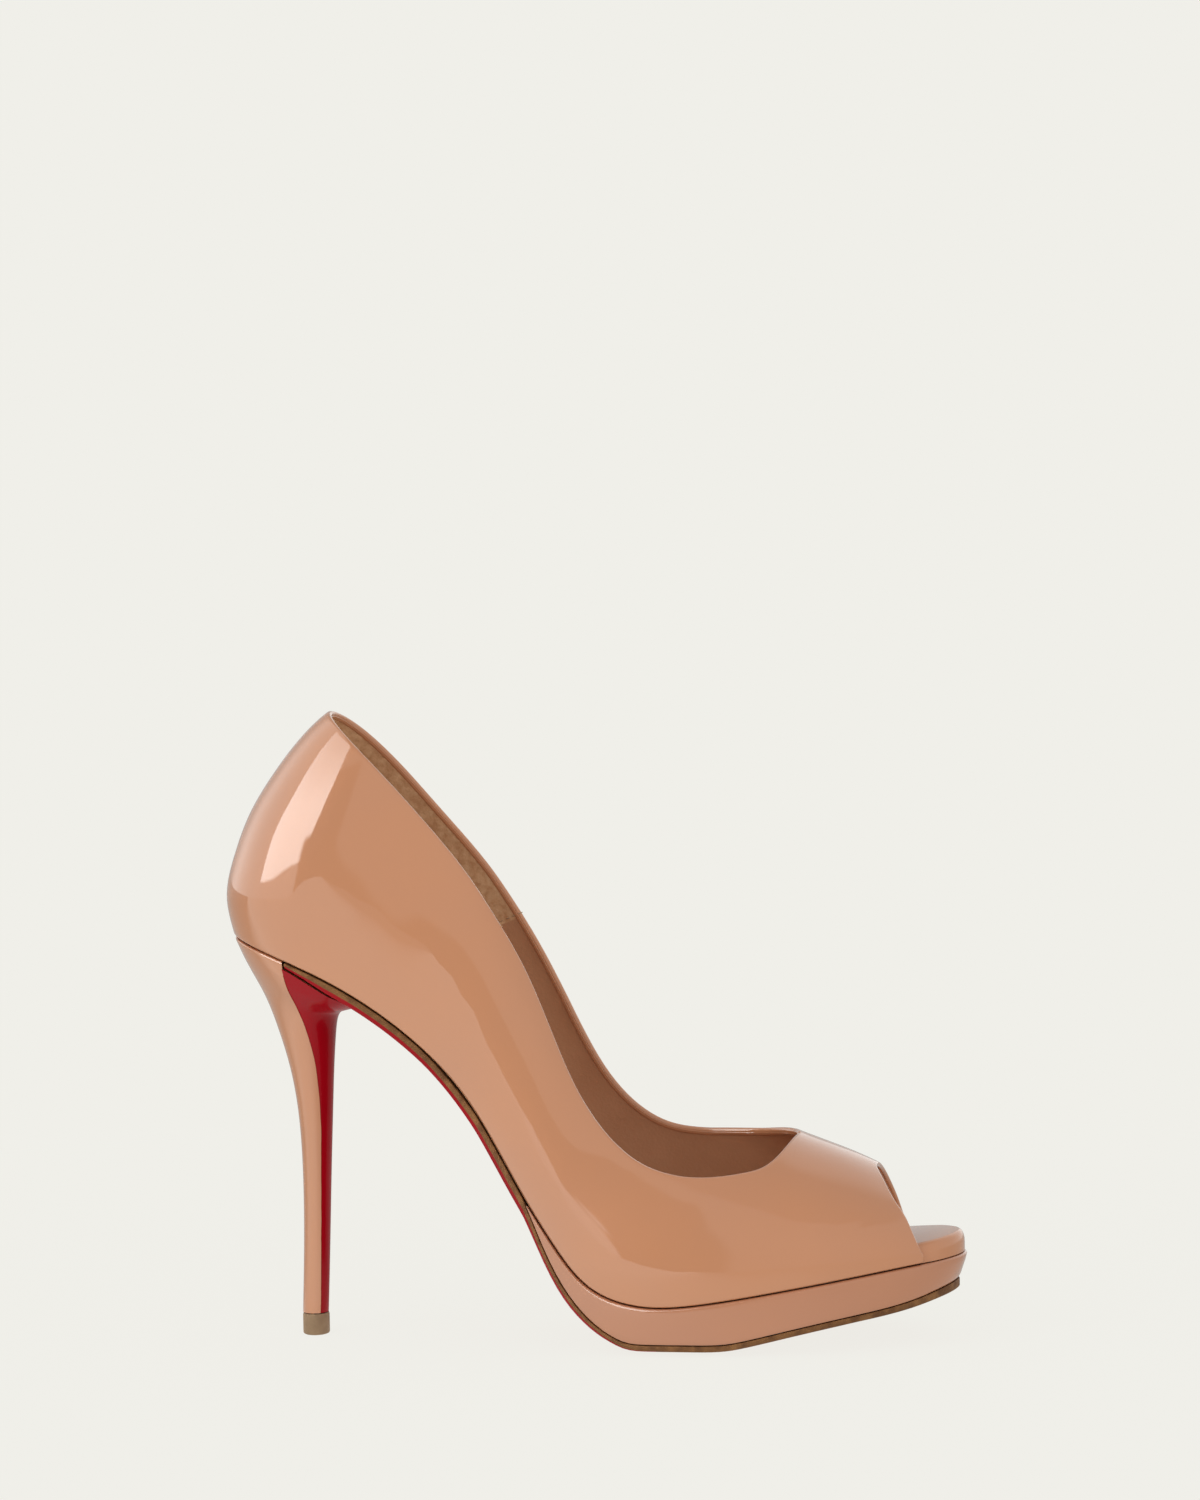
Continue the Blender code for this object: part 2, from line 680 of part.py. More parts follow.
def make_heel_breast():
    """The lacquered cover of the heel's front, which runs up under the shank."""
    rings = []
    for down in heel_levels():
        lines = []
        for inset in (BREAST_STEP, BREAST_SKIN):
            outer, inner = halves(heel_ring(down, inset, "front", 1.5 * CLEAR))
            lines.append(outer + inner[-2::-1])
        rings.append(lines)
    faces = stack_faces(rings)
    for (front, back), (front_next, back_next) in zip(rings, rings[1:]):
        for end in (0, -1):
            faces.append((front[end], front_next[end], back_next[end], back[end]))
    face_out(make_object("heel_breast", faces, LACQUER, 0.15))


def make_top_lift():
    rings = []
    for height, inset in ((0.0, LIFT_ROUND), (LIFT_ROUND, 0.0), (TOP_LIFT_HEIGHT, 0.0)):
        half = heel_ring(1.0, inset, "back") + heel_ring(1.0, inset, "front")[1:]
        rings.append(halves([(x, y, height) for x, y, _ in half]))
    face_out(make_object("top_lift", stack_faces(rings), RUBBER, 0.6))


for old in list(bpy.data.objects):
    bpy.data.objects.remove(old, do_unlink=True)

make_insole()
make_upper()
make_platform()
make_outsole()
make_heel()
make_heel_breast()
make_top_lift()
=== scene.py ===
import math

import bmesh
import bpy
import numpy as np
from mathutils import Matrix, Vector, noise
from mathutils.bvhtree import BVHTree


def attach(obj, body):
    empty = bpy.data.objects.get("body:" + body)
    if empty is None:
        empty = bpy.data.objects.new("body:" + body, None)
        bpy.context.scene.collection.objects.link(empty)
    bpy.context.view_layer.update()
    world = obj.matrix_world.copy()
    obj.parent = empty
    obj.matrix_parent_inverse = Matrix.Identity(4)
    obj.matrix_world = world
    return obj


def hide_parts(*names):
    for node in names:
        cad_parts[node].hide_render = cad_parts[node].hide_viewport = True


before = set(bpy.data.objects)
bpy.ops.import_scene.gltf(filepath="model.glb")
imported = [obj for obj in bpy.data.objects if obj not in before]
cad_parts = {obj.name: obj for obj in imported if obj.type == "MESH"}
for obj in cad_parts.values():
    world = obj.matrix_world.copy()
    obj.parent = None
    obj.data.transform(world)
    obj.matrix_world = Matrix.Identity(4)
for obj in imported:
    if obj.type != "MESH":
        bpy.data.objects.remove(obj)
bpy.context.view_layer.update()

# Insole
# A stiff board with a steel shank, bent over the last from the seat down to the toe. A smooth leather
# sock is glued over it, and a foam pillow under the toes has the upper's patent pulled over its edge.
# Every other piece is cut to its outline, so the last's own sizes stand here.
LENGTH = 0.2145
BALL_WIDTH = 0.0745
WAIST_WIDTH = 0.0420
SEAT_WIDTH = 0.0500
SEAT_HEIGHT = 0.1180
TOE_SPRING = 0.0114
HEEL_ROUND = 0.0260
TOE_ROUND = 0.0440
SEAT_SETBACK = 0.0020
UPPER_WALL = 0.0018
INSOLE_THICK = 0.0030
INSOLE_PILLOW = 0.0046
INSOLE_CROWN = 0.0016
SOCK_TUCK = 0.0004
INSOLE_LIP_INSET = 0.0006
INSOLE_ROUND = 0.0020
PLATFORM_THICK = 0.0118
SOLE_THICK = 0.0017
CLEAR = 0.0003
PEEP_FOOT_AT = 0.2046
PILLOW_FROM = 0.1600
PILLOW_TO = 0.1950
TOE_COVER_FROM = 0.1700
TO_MIDDLE = (-LENGTH / 2, -0.0004, 0.0)
OUTER, INNER = -1, 1

SOLE_LINE = [
    # place along, share of the seat's height, share of the toe spring, depth of the platform
    (0.000, 1.004, 0.000, 0.00),
    (0.095, 0.943, 0.000, 0.00),
    (0.190, 0.842, 0.000, 0.00),
    (0.280, 0.696, 0.000, 0.00),
    (0.350, 0.523, 0.000, 0.00),
    (0.415, 0.297, 0.000, 0.00),
    (0.450, 0.188, 0.000, 0.57),
    (0.490, 0.083, 0.000, 0.82),
    (0.545, 0.016, 0.000, 1.03),
    (0.610, 0.000, 0.000, 1.12),
    (0.660, 0.000, 0.080, 1.17),
    (0.765, 0.000, 0.380, 1.10),
    (0.865, 0.000, 0.690, 1.00),
    (0.930, 0.000, 0.860, 0.88),
    (1.000, 0.000, 0.990, 0.60),
]
OUTLINE = [
    # place along, share of the width to the outer and to the inner side, width, swing to the inside
    (0.00, 0.490, 0.490, SEAT_WIDTH, 0.000),
    (0.12, 0.500, 0.500, SEAT_WIDTH, 0.000),
    (0.24, 0.455, 0.440, SEAT_WIDTH, -0.002),
    (0.35, 0.520, 0.450, WAIST_WIDTH, -0.006),
    (0.46, 0.395, 0.350, BALL_WIDTH, -0.008),
    (0.55, 0.475, 0.440, BALL_WIDTH, -0.006),
    (0.64, 0.502, 0.495, BALL_WIDTH, 0.000),
    (0.73, 0.485, 0.500, BALL_WIDTH, 0.008),
    (0.83, 0.440, 0.460, BALL_WIDTH, 0.014),
    (0.92, 0.405, 0.415, BALL_WIDTH, 0.018),
    (1.00, 0.380, 0.390, BALL_WIDTH, 0.020),
]


def smooth_curve(places, values):
    """A natural cubic spline through given places, as a function of the place."""
    x = np.array(places, float)
    y = np.array(values, float)
    gaps = np.diff(x)
    slopes = np.diff(y) / gaps
    count = len(x)
    system = np.eye(count)
    right = np.zeros(count)
    for i in range(1, count - 1):
        system[i, i - 1:i + 2] = gaps[i - 1], 2 * (gaps[i - 1] + gaps[i]), gaps[i]
        right[i] = 6 * (slopes[i] - slopes[i - 1])
    bend = np.linalg.solve(system, right)

    def at(place):
        p = np.asarray(place, float)
        i = np.clip(np.searchsorted(x, p) - 1, 0, count - 2)
        ahead = x[i + 1] - p
        behind = p - x[i]
        gap = gaps[i]
        curve = (bend[i] * ahead ** 3 + bend[i + 1] * behind ** 3) / (6 * gap)
        line = (y[i] / gap - bend[i] * gap / 6) * ahead + (y[i + 1] / gap - bend[i + 1] * gap / 6) * behind
        return curve + line

    return at


def curve_of(table, place):
    """The curve through one column of a table, over its first column."""
    return smooth_curve([row[0] for row in table], [row[place] for row in table])


drop_at = curve_of(SOLE_LINE, 1)
spring_at = curve_of(SOLE_LINE, 2)
platform_at = curve_of(SOLE_LINE, 3)
swing_at = curve_of(OUTLINE, 4)
half_width_at = {
    OUTER: smooth_curve([row[0] for row in OUTLINE], [row[1] * row[3] for row in OUTLINE]),
    INNER: smooth_curve([row[0] for row in OUTLINE], [row[2] * row[3] for row in OUTLINE]),
}


def feather_height(x):
    """Height of the feather line, where the upper meets what it stands on."""
    ball = SOLE_THICK + 2 * CLEAR + PLATFORM_THICK
    share = x / LENGTH
    return ball + (SEAT_HEIGHT - ball) * drop_at(share) + TOE_SPRING * spring_at(share)


def stretch(x):
    """Vertical length of one unit measured square to the sloping sole."""
    step = 0.0005
    slope = (feather_height(x + step) - feather_height(x - step)) / (2 * step)
    return np.sqrt(1 + slope ** 2)


def end_round(x):
    """How far the round seat and the round toe narrow the outline."""
    heel = np.clip((x - SEAT_SETBACK) / HEEL_ROUND, 0, 1)
    toe = np.clip((LENGTH - x) / TOE_ROUND, 0, 1)
    return np.sqrt(1 - (1 - heel) ** 2) * np.sqrt(1 - (1 - toe) ** 2)


def middle(x):
    return swing_at(x / LENGTH) * BALL_WIDTH


def across_share(x, y):
    """0 on the middle line, 1 at the edge of the widest outline."""
    half = (half_width_at[OUTER](x / LENGTH) + half_width_at[INNER](x / LENGTH)) / 2
    return np.clip(np.abs(y - middle(x)) / half, 0, 1)


def soft_step(value, start, end):
    t = np.clip((value - start) / (end - start), 0, 1)
    return t * t * (3 - 2 * t)


def add_object(name, data):
    made = bpy.data.objects.new(name, data)
    bpy.context.scene.collection.objects.link(made)
    return made


def make_piece(name, faces, finishes):
    """One mesh from faces, each a finish number and its points in the last's own frame."""
    bm = bmesh.new()
    found = {}
    for finish, points in faces:
        corners = []
        for point in points:
            key = tuple(round(float(value + shift), 7) for value, shift in zip(point, TO_MIDDLE))
            if key not in found:
                found[key] = bm.verts.new(key)
            if found[key] not in corners:
                corners.append(found[key])
        if len(corners) > 2:
            try:
                face = bm.faces.new(corners)
            except ValueError:
                continue
            face.material_index = finish
            face.smooth = True
    bmesh.ops.recalc_face_normals(bm, faces=bm.faces)
    mesh = bpy.data.meshes.new(name)
    bm.to_mesh(mesh)
    bm.free()
    for finish in finishes:
        mesh.materials.append(finish)
    mesh.set_sharp_from_angle(angle=math.radians(50))
    return add_object(name, mesh)


def stations(start=SEAT_SETBACK, heel_steps=22, middle_steps=72, toe_steps=34):
    """Places along the sole, closer together at the round ends."""
    side_from = SEAT_SETBACK + HEEL_ROUND
    heel_turn = np.linspace(0, math.pi / 2, heel_steps, endpoint=False)
    toe_turn = np.linspace(0, math.pi / 2, toe_steps + 1)[1:]
    places = np.concatenate([
        side_from - HEEL_ROUND * np.cos(heel_turn),
        np.linspace(side_from, LENGTH - TOE_ROUND, middle_steps + 1),
        LENGTH - TOE_ROUND * (1 - np.sin(toe_turn)),
    ])
    return np.concatenate([[start], places[places > start + CLEAR]])


def outline(places):
    """The feather line's points and outward directions in plan, for both sides."""
    edges = {}
    for side in (OUTER, INNER):
        across = half_width_at[side](places / LENGTH) * end_round(places)
        edges[side] = np.stack([places, middle(places) + side * across], 1)
    closed_back = np.allclose(edges[OUTER][0], edges[INNER][0])
    closed_front = np.allclose(edges[OUTER][-1], edges[INNER][-1])
    result = {}
    for side in (OUTER, INNER):
        points = edges[side]
        ahead = np.roll(points, -1, 0)
        behind = np.roll(points, 1, 0)
        ahead[-1] = edges[-side][-2] if closed_front else points[-1]
        behind[0] = edges[-side][1] if closed_back else points[0]
        along = ahead - behind
        along /= np.linalg.norm(along, axis=1)[:, None]
        result[side] = (points, np.stack([-along[:, 1], along[:, 0]], 1) * side)
    return result


LOW_SIDE_ROWS = 2


def sheet_faces(places, top, bottom, edge, finish, across_steps=18):
    """A sheet cut to the last's outline. Edge gives the outset and depth share of each row of its side."""
    sides = outline(places)
    rings = []
    for i in range(len(places)):
        side_rows = {}
        for side in (OUTER, INNER):
            point, out = sides[side][0][i], sides[side][1][i]
            side_rows[side] = []
            for outset, share in edge(places[i]):
                x, y = point + out * outset
                z = top(x, y) + (bottom(x, y) - top(x, y)) * share
                side_rows[side].append((x, y, z))
        sheets = []
        for surface, row in ((top, 0), (bottom, -1)):
            left, right = side_rows[OUTER][row], side_rows[INNER][row]
            sheet = [left]
            for j in range(1, across_steps):
                share = 0.5 - 0.5 * math.cos(math.pi * j / across_steps)
                x = left[0] + (right[0] - left[0]) * share
                y = left[1] + (right[1] - left[1]) * share
                sheet.append((x, y, surface(x, y)))
            sheets.append(sheet + [right])
        rings.append(sheets[0] + side_rows[INNER][1:-1] + sheets[1][::-1] + side_rows[OUTER][1:-1][::-1])
    side_count = len(edge(places[0])) - 1
    upper_side = ["side"] * (side_count - LOW_SIDE_ROWS)
    low_side = ["low side"] * LOW_SIDE_ROWS
    kinds = ["top"] * across_steps + upper_side + low_side + ["under"] * across_steps + low_side + upper_side
    faces = []
    for i in range(len(rings) - 1):
        first = rings[i] + rings[i][:1]
        second = rings[i + 1] + rings[i + 1][:1]
        for k in range(len(kinds)):
            points = (first[k], first[k + 1], second[k + 1], second[k])
            faces.append((finish(kinds[k], places[i]), points))
    for ring in (rings[0], rings[-1]):
        if math.dist(ring[0], ring[across_steps]) < CLEAR:
            continue
        low = across_steps + side_count
        upper_row = ring[:across_steps + 1]
        lower_row = ring[low:low + across_steps + 1][::-1]
        for k in range(across_steps):
            points = (upper_row[k], upper_row[k + 1], lower_row[k + 1], lower_row[k])
            faces.append((finish("side", places[0]), points))
        inner_end = [upper_row[-1]] + ring[across_steps + 1:low] + [lower_row[-1]]
        outer_end = [lower_row[0]] + ring[low + across_steps + 1:] + [upper_row[0]]
        faces.append((finish("side", places[0]), inner_end))
        faces.append((finish("side", places[0]), outer_end))
    return faces


def rounded_edge(inset, drop, steps=6):
    """Rows of a side whose top corner is rounded by the inset over a share of its depth."""
    rows = []
    for i in range(steps):
        angle = math.pi / 2 * i / steps
        rows.append((inset * (math.sin(angle) - 1), drop * (1 - math.cos(angle))))
    return rows + [(0.0, drop), (0.0, 1.0)]


def insole_toe_share(x):
    return soft_step(x, PEEP_FOOT_AT - 0.002, PEEP_FOOT_AT + 0.004)


def insole_top(x, y):
    front = np.clip((x - PILLOW_FROM) / (PILLOW_TO - PILLOW_FROM), 0, 1)
    thick = INSOLE_THICK + (INSOLE_PILLOW - INSOLE_THICK) * front
    return feather_height(x) + thick * stretch(x) + INSOLE_CROWN * front * (1 - across_share(x, y) ** 2)


def insole_bottom(x, y):
    return feather_height(x) + 0 * y


def insole_edge(x):
    lip = insole_toe_share(x)
    inset = (UPPER_WALL - SOCK_TUCK) * (1 - lip) + INSOLE_LIP_INSET * lip
    return [(outset - inset, share) for outset, share in rounded_edge(INSOLE_ROUND, 0.6)]


def wired(tree, kind, *inputs, **settings):
    """A node with its settings and, in order, its inputs: sockets to link, values, or None to leave one."""
    node = tree.nodes.new(kind)
    for name, value in settings.items():
        setattr(node, name, value)
    for socket, given in zip(node.inputs, inputs):
        if isinstance(given, bpy.types.NodeSocket):
            tree.links.new(given, socket)
        elif given is not None:
            socket.default_value = given
    return node


def mixed(tree, share, first, second):
    """A colour on the way from the first to the second, each a socket or a colour."""
    node = wired(tree, "ShaderNodeMix", share, data_type="RGBA")
    for socket, given in ((node.inputs[6], first), (node.inputs[7], second)):
        if isinstance(given, bpy.types.NodeSocket):
            tree.links.new(given, socket)
        else:
            socket.default_value = (*given, 1)
    return node.outputs[2]


def node_group(name, inputs, outputs):
    """An empty shader group with named sockets: each input has a kind and a value, each output a kind."""
    group = bpy.data.node_groups.new(name, "ShaderNodeTree")
    for label, kind, value in inputs:
        socket = group.interface.new_socket(label, in_out="INPUT", socket_type=kind)
        socket.default_value = value
    for label, kind in outputs:
        group.interface.new_socket(label, in_out="OUTPUT", socket_type=kind)
    group.nodes.new("NodeGroupInput")
    group.nodes.new("NodeGroupOutput")
    return group


# Two near tones of one leather drift into each other over a few centimetres
tone_drift = node_group(
    "tone drift",
    [("Tone", "NodeSocketColor", (0.5, 0.3, 0.2, 1)), ("Other tone", "NodeSocketColor", (0.5, 0.3, 0.2, 1)),
     ("Scale", "NodeSocketFloat", 40.0), ("Spread", "NodeSocketFloat", 0.5)],
    [("Colour", "NodeSocketColor")])
given = tone_drift.nodes["Group Input"].outputs
place = wired(tone_drift, "ShaderNodeTexCoord").outputs["Object"]
cloud = wired(tone_drift, "ShaderNodeTexNoise", place, None, given["Scale"], 3.0)
level = wired(tone_drift, "ShaderNodeMapRange", cloud.outputs["Fac"], 0.32, 0.68, 0.0, given["Spread"])
drifted = mixed(tone_drift, level.outputs["Result"], given["Tone"], given["Other tone"])
tone_drift.links.new(drifted, tone_drift.nodes["Group Output"].inputs["Colour"])

# The grain of a leather: small closed cells with finer pores between them
PORES_PER_CELL = 2.6
leather_grain = node_group(
    "leather grain",
    [("Cell scale", "NodeSocketFloat", 1200.0), ("Pore share", "NodeSocketFloat", 0.4)],
    [("Height", "NodeSocketFloat")])
given = leather_grain.nodes["Group Input"].outputs
place = wired(leather_grain, "ShaderNodeTexCoord").outputs["Object"]
cells = wired(leather_grain, "ShaderNodeTexVoronoi", place, feature="SMOOTH_F1")
leather_grain.links.new(given["Cell scale"], cells.inputs["Scale"])
finer = wired(leather_grain, "ShaderNodeMath", given["Cell scale"], PORES_PER_CELL, operation="MULTIPLY")
pores = wired(leather_grain, "ShaderNodeTexNoise", place, None, finer.outputs[0], 4.0)
fine = pores.outputs["Fac"]
weighed = wired(leather_grain, "ShaderNodeMath", fine, given["Pore share"], operation="MULTIPLY")
both = wired(leather_grain, "ShaderNodeMath", cells.outputs["Distance"], weighed.outputs[0], operation="ADD")
leather_grain.links.new(both.outputs[0], leather_grain.nodes["Group Output"].inputs["Height"])


def new_material(name, values):
    """A material, its nodes and its shader, which gets the values by label."""
    material = bpy.data.materials.new(name)
    material.use_nodes = True
    shader = material.node_tree.nodes["Principled BSDF"]
    for label, value in values.items():
        shader.inputs[label].default_value = value
    return material, material.node_tree, shader


def leather(name, tones, drift, roughness, grain, coat=0.0, coat_rough=0.05):
    """A leather: two drifting tones, their scale and spread, the grain's scale and depth, and its coat."""
    material, tree, shader = new_material(name, {
        "Roughness": roughness, "IOR": 1.45, "Specular IOR Level": 0.22 - 0.12 * coat,
        "Coat Weight": coat, "Coat Roughness": coat_rough, "Coat IOR": 1.5})
    tone, other_tone = [(*value, 1) for value in tones]
    colour = wired(tree, "ShaderNodeGroup", node_tree=tone_drift)
    for socket, value in zip(colour.inputs, (tone, other_tone, *drift)):
        socket.default_value = value
    tree.links.new(colour.outputs["Colour"], shader.inputs["Base Color"])
    cells = wired(tree, "ShaderNodeGroup", node_tree=leather_grain)
    cells.inputs["Cell scale"].default_value = grain[0]
    bump = wired(tree, "ShaderNodeBump")
    bump.inputs["Distance"].default_value = grain[1]
    tree.links.new(cells.outputs["Height"], bump.inputs["Height"])
    tree.links.new(bump.outputs["Normal"], shader.inputs["Normal"])
    return material


NUDE = (0.515, 0.228, 0.114)
NUDE_WARM = (0.540, 0.232, 0.108)
LINING_TAN = (0.560, 0.285, 0.155)
LINING_TAN_DARK = (0.490, 0.235, 0.122)
patent = leather("nude patent", (NUDE, NUDE_WARM), (28.0, 0.8), 0.30, (900.0, 0.00002), 1.0, 0.02)
toe_cover_patent = leather(
    "toe cover patent", (NUDE, NUDE_WARM), (28.0, 0.8), 0.32, (900.0, 0.00003), 0.9, 0.12)
sock_leather = leather("sock leather", (LINING_TAN, LINING_TAN_DARK), (60.0, 0.7), 0.48, (1100.0, 0.00006))


def insole_finish(kind, x):
    return 1 if x > TOE_COVER_FROM else 0


insole = make_piece(
    "insole_sock", sheet_faces(stations(), insole_top, insole_bottom, insole_edge, insole_finish),
    [sock_leather, toe_cover_patent])
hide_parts("insole")
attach(insole, "root")

# Upper
# One skin of patent leather over a thin lining, pulled over the last and stuck down at the feather line. Its
# edges at the collar and at the peep opening are folded over. It stays a little uneven, which its reflections
# show.
BACK_RISE = 0.0760
INSTEP_RISE = 0.0402
THROAT_AT = 0.1663
PEEP_TOP_AT = 0.1890
PEEP_SKEW = 0.0088
FINE_STEPS_FROM = 0.1308
EDGE_ROUND = UPPER_WALL / 2
FOLD_DROP = EDGE_ROUND * 1.25
FOLD_DROP_FADE = 0.03
HEEL_STEPS = 24
SIDE_STEPS = 62
THROAT_STEPS = 34
VAMP_STEPS = 18
PEEP_STEPS = 30
WALL_ROWS = 42

SECTIONS = [
    # place, swell beyond the feather line and its height, fullness of the shoulder, crown, its rise, lean
    (0.00, 0.080, 0.27, 0.84, 1.42, BACK_RISE, 0.00),
    (0.12, 0.078, 0.27, 0.84, 1.39, BACK_RISE, 0.00),
    (0.24, 0.085, 0.28, 0.86, 1.28, BACK_RISE, 0.01),
    (0.35, 0.095, 0.30, 0.90, 1.19, BACK_RISE, 0.02),
    (0.46, 0.070, 0.32, 0.84, 1.92, INSTEP_RISE, 0.04),
    (0.58, 0.058, 0.36, 0.76, 1.57, INSTEP_RISE, 0.05),
    (0.70, 0.052, 0.38, 0.74, 1.24, INSTEP_RISE, 0.05),
    (0.775, 0.050, 0.40, 0.74, 1.00, INSTEP_RISE, 0.05),
    (0.82, 0.048, 0.42, 0.72, 0.87, INSTEP_RISE, 0.045),
    (0.881, 0.044, 0.45, 0.68, 0.68, INSTEP_RISE, 0.045),
    (0.95, 0.040, 0.50, 0.64, 0.42, INSTEP_RISE, 0.045),
    (1.00, 0.030, 0.55, 0.62, 0.22, INSTEP_RISE, 0.045),
]
TOPLINE = [
    # place along, the collar's share of the crown on the outer and on the inner side
    (0.000, 0.735, 0.735),
    (0.147, 0.727, 0.727),
    (0.235, 0.718, 0.706),
    (0.310, 0.713, 0.708),
    (0.375, 0.760, 0.772),
    (0.425, 0.800, 0.825),
    (0.460, 0.762, 0.800),
    (0.520, 0.690, 0.735),
    (0.570, 0.650, 0.715),
    (0.620, 0.645, 0.742),
    (0.670, 0.668, 0.792),
    (0.720, 0.735, 0.866),
    (0.757, 0.862, 0.955),
    (THROAT_AT / LENGTH, 1.000, 1.000),
]
PEEP_EDGE = [
    # share of the way from the opening's top to its foot, the edge's share of the crown outside and inside
    (0.00, 1.00, 1.00),
    (0.20, 0.94, 0.80),
    (0.45, 0.80, 0.60),
    (0.70, 0.625, 0.38),
    (1.00, 0.12, 0.11),
]
BACK_LINE = [
    # share of the back's rise, how far the back sits in from the last's rearmost point
    (0.00, 0.0020),
    (0.13, 0.0000),
    (0.30, 0.0023),
    (0.47, 0.0068),
    (0.65, 0.0138),
    (0.84, 0.0226),
    (1.00, 0.0315),
    (1.15, 0.0420),
]
# Slow swells of the skin, as height and width, and a faint crease on the outer side by the toe: the two ends
# of a soft trough in the side view, its half width and its depth
SWELLS = [(0.00008, 0.021), (0.00005, 0.009), (0.000014, 0.0045)]
CREASES = [((0.1782, 0.0330), (0.1968, 0.0412), 0.0007, 0.00010)]

swell_at = curve_of(SECTIONS, 1)
swell_height_at = curve_of(SECTIONS, 2)
shoulder_at = curve_of(SECTIONS, 3)
crown_at = smooth_curve([row[0] for row in SECTIONS], [row[4] * row[5] for row in SECTIONS])
lean_at = curve_of(SECTIONS, 6)
topline_at = {OUTER: curve_of(TOPLINE, 1), INNER: curve_of(TOPLINE, 2)}
peep_at = {OUTER: curve_of(PEEP_EDGE, 1), INNER: curve_of(PEEP_EDGE, 2)}
back_at = curve_of(BACK_LINE, 1)


def section(side, x, turn):
    """A cross section's point: its distance across and its height over the feather line."""
    share = x / LENGTH
    foot = half_width_at[side](share)
    crown = crown_at(share)
    lean = lean_at(share) * BALL_WIDTH * side
    across = [foot, foot + swell_at(share) * BALL_WIDTH, shoulder_at(share) * foot + lean, lean]
    up = [0 * crown, swell_height_at(share) * crown, crown, crown]
    rest = 1 - turn
    weights = [rest ** 3, 3 * rest ** 2 * turn, 3 * rest * turn ** 2, turn ** 3]
    return sum(w * a for w, a in zip(weights, across)), sum(w * u for w, u in zip(weights, up))


def peep_foot(side):
    """Where the opening's edge meets the sole: further back on the inner side."""
    return PEEP_FOOT_AT - (PEEP_SKEW if side == INNER else 0)


def wall_points(side, base, angle, turn):
    """Points up the wall of the last, which leans with the back near the heel."""
    fade = np.clip((base - SEAT_SETBACK - HEEL_ROUND) / (0.5 * LENGTH - SEAT_SETBACK - HEEL_ROUND), 0, 1)
    follow = (1 - fade) ** 2 * (1 + 2 * fade)
    x = np.full_like(turn, base)
    for _ in range(14):
        up = section(side, x, turn)[1]
        back = back_at(up / BACK_RISE)
        if angle is None:
            x = base + follow * (back - SEAT_SETBACK)
        else:
            x = back + HEEL_ROUND * (1 - math.cos(angle))
    across = section(side, x, turn)[0]
    if angle is not None:
        across = across * math.sin(angle)
    else:
        toe = np.clip((LENGTH - x) / TOE_ROUND, 0, 1)
        across = across * np.sqrt(1 - (1 - toe) ** 2)
    return np.stack([x, middle(x) + side * across, feather_height(x) + up], 1)


def edge_height(side, base, angle, x):
    """Height of the upper's edge over the feather line, less the round of its fold."""
    crown = crown_at(x / LENGTH)
    if base >= PEEP_TOP_AT - EDGE_ROUND:
        foot = peep_foot(side) - EDGE_ROUND
        return crown * peep_at[side]((x - PEEP_TOP_AT + EDGE_ROUND) / (foot - PEEP_TOP_AT + EDGE_ROUND))
    own = topline_at[side](x / LENGTH)
    if angle is not None:
        own = own + (topline_at[-side](x / LENGTH) - own) * 0.5 * (1 - math.sin(angle))
    slope = np.clip((THROAT_AT - x) / FOLD_DROP_FADE, 0, 1)
    return crown * own - FOLD_DROP * slope


def wall_line(side, base, angle=None):
    """One line up the wall from just over the feather line to the edge, with the directions out of it."""
    rise_per_turn = 3 * swell_height_at(base / LENGTH) * crown_at(base / LENGTH)
    low = float(EDGE_ROUND * stretch(base) / rise_per_turn)
    high = 1.0
    if not THROAT_AT + EDGE_ROUND - 1e-6 <= base <= PEEP_TOP_AT - EDGE_ROUND + 1e-6:
        tries = np.linspace(0, 1, 400)
        x, y, z = wall_points(side, base, angle, tries).T
        over = z - feather_height(x) - edge_height(side, base, angle, x)
        if (over > 0).any():
            first = int(np.argmax(over > 0))
            part_way = over[first - 1] / (over[first - 1] - over[first])
            high = tries[first - 1] + (tries[first] - tries[first - 1]) * part_way
    shares = 1 - (1 - np.linspace(0, 1, WALL_ROWS + 1)) ** 1.25
    turn = low + (high - low) * shares
    points = wall_points(side, base, angle, turn)
    step = 0.0004
    up = wall_points(side, base, angle, turn + step) - wall_points(side, base, angle, turn - step)
    if angle is None:
        along = wall_points(side, base + step, None, turn) - wall_points(side, base - step, None, turn)
    else:
        nudge = 0.01
        along = wall_points(side, base, angle + nudge, turn) - wall_points(side, base, angle - nudge, turn)
    out = np.cross(along, up) * -side
    out /= np.linalg.norm(out, axis=1)[:, None]
    third = len(out) // 3
    if out[third] @ (points[third] - (0.5 * LENGTH, middle(base), points[third][2])) < 0:
        out = -out
    return points, out


def upper_lines(side):
    """All lines up the wall on one side, from the back seam to the foot of the peep opening."""
    side_from = SEAT_SETBACK + HEEL_ROUND
    throat = THROAT_AT + EDGE_ROUND
    peep_top = PEEP_TOP_AT - EDGE_ROUND
    foot = peep_foot(side) - EDGE_ROUND
    bases = [side_from + (FINE_STEPS_FROM - side_from) * i / SIDE_STEPS for i in range(SIDE_STEPS)]
    bases += [throat - (throat - FINE_STEPS_FROM) * (1 - i / THROAT_STEPS) ** 2 for i in range(THROAT_STEPS)]
    bases += [throat + (peep_top - throat) * i / VAMP_STEPS for i in range(VAMP_STEPS)]
    bases += [peep_top + (foot - peep_top) * (i / PEEP_STEPS) ** 1.6 for i in range(PEEP_STEPS + 1)]
    heel_turns = [math.pi / 2 * i / HEEL_STEPS for i in range(HEEL_STEPS)]
    lines = [wall_line(side, SEAT_SETBACK, angle) for angle in heel_turns]
    return lines + [wall_line(side, base) for base in bases]


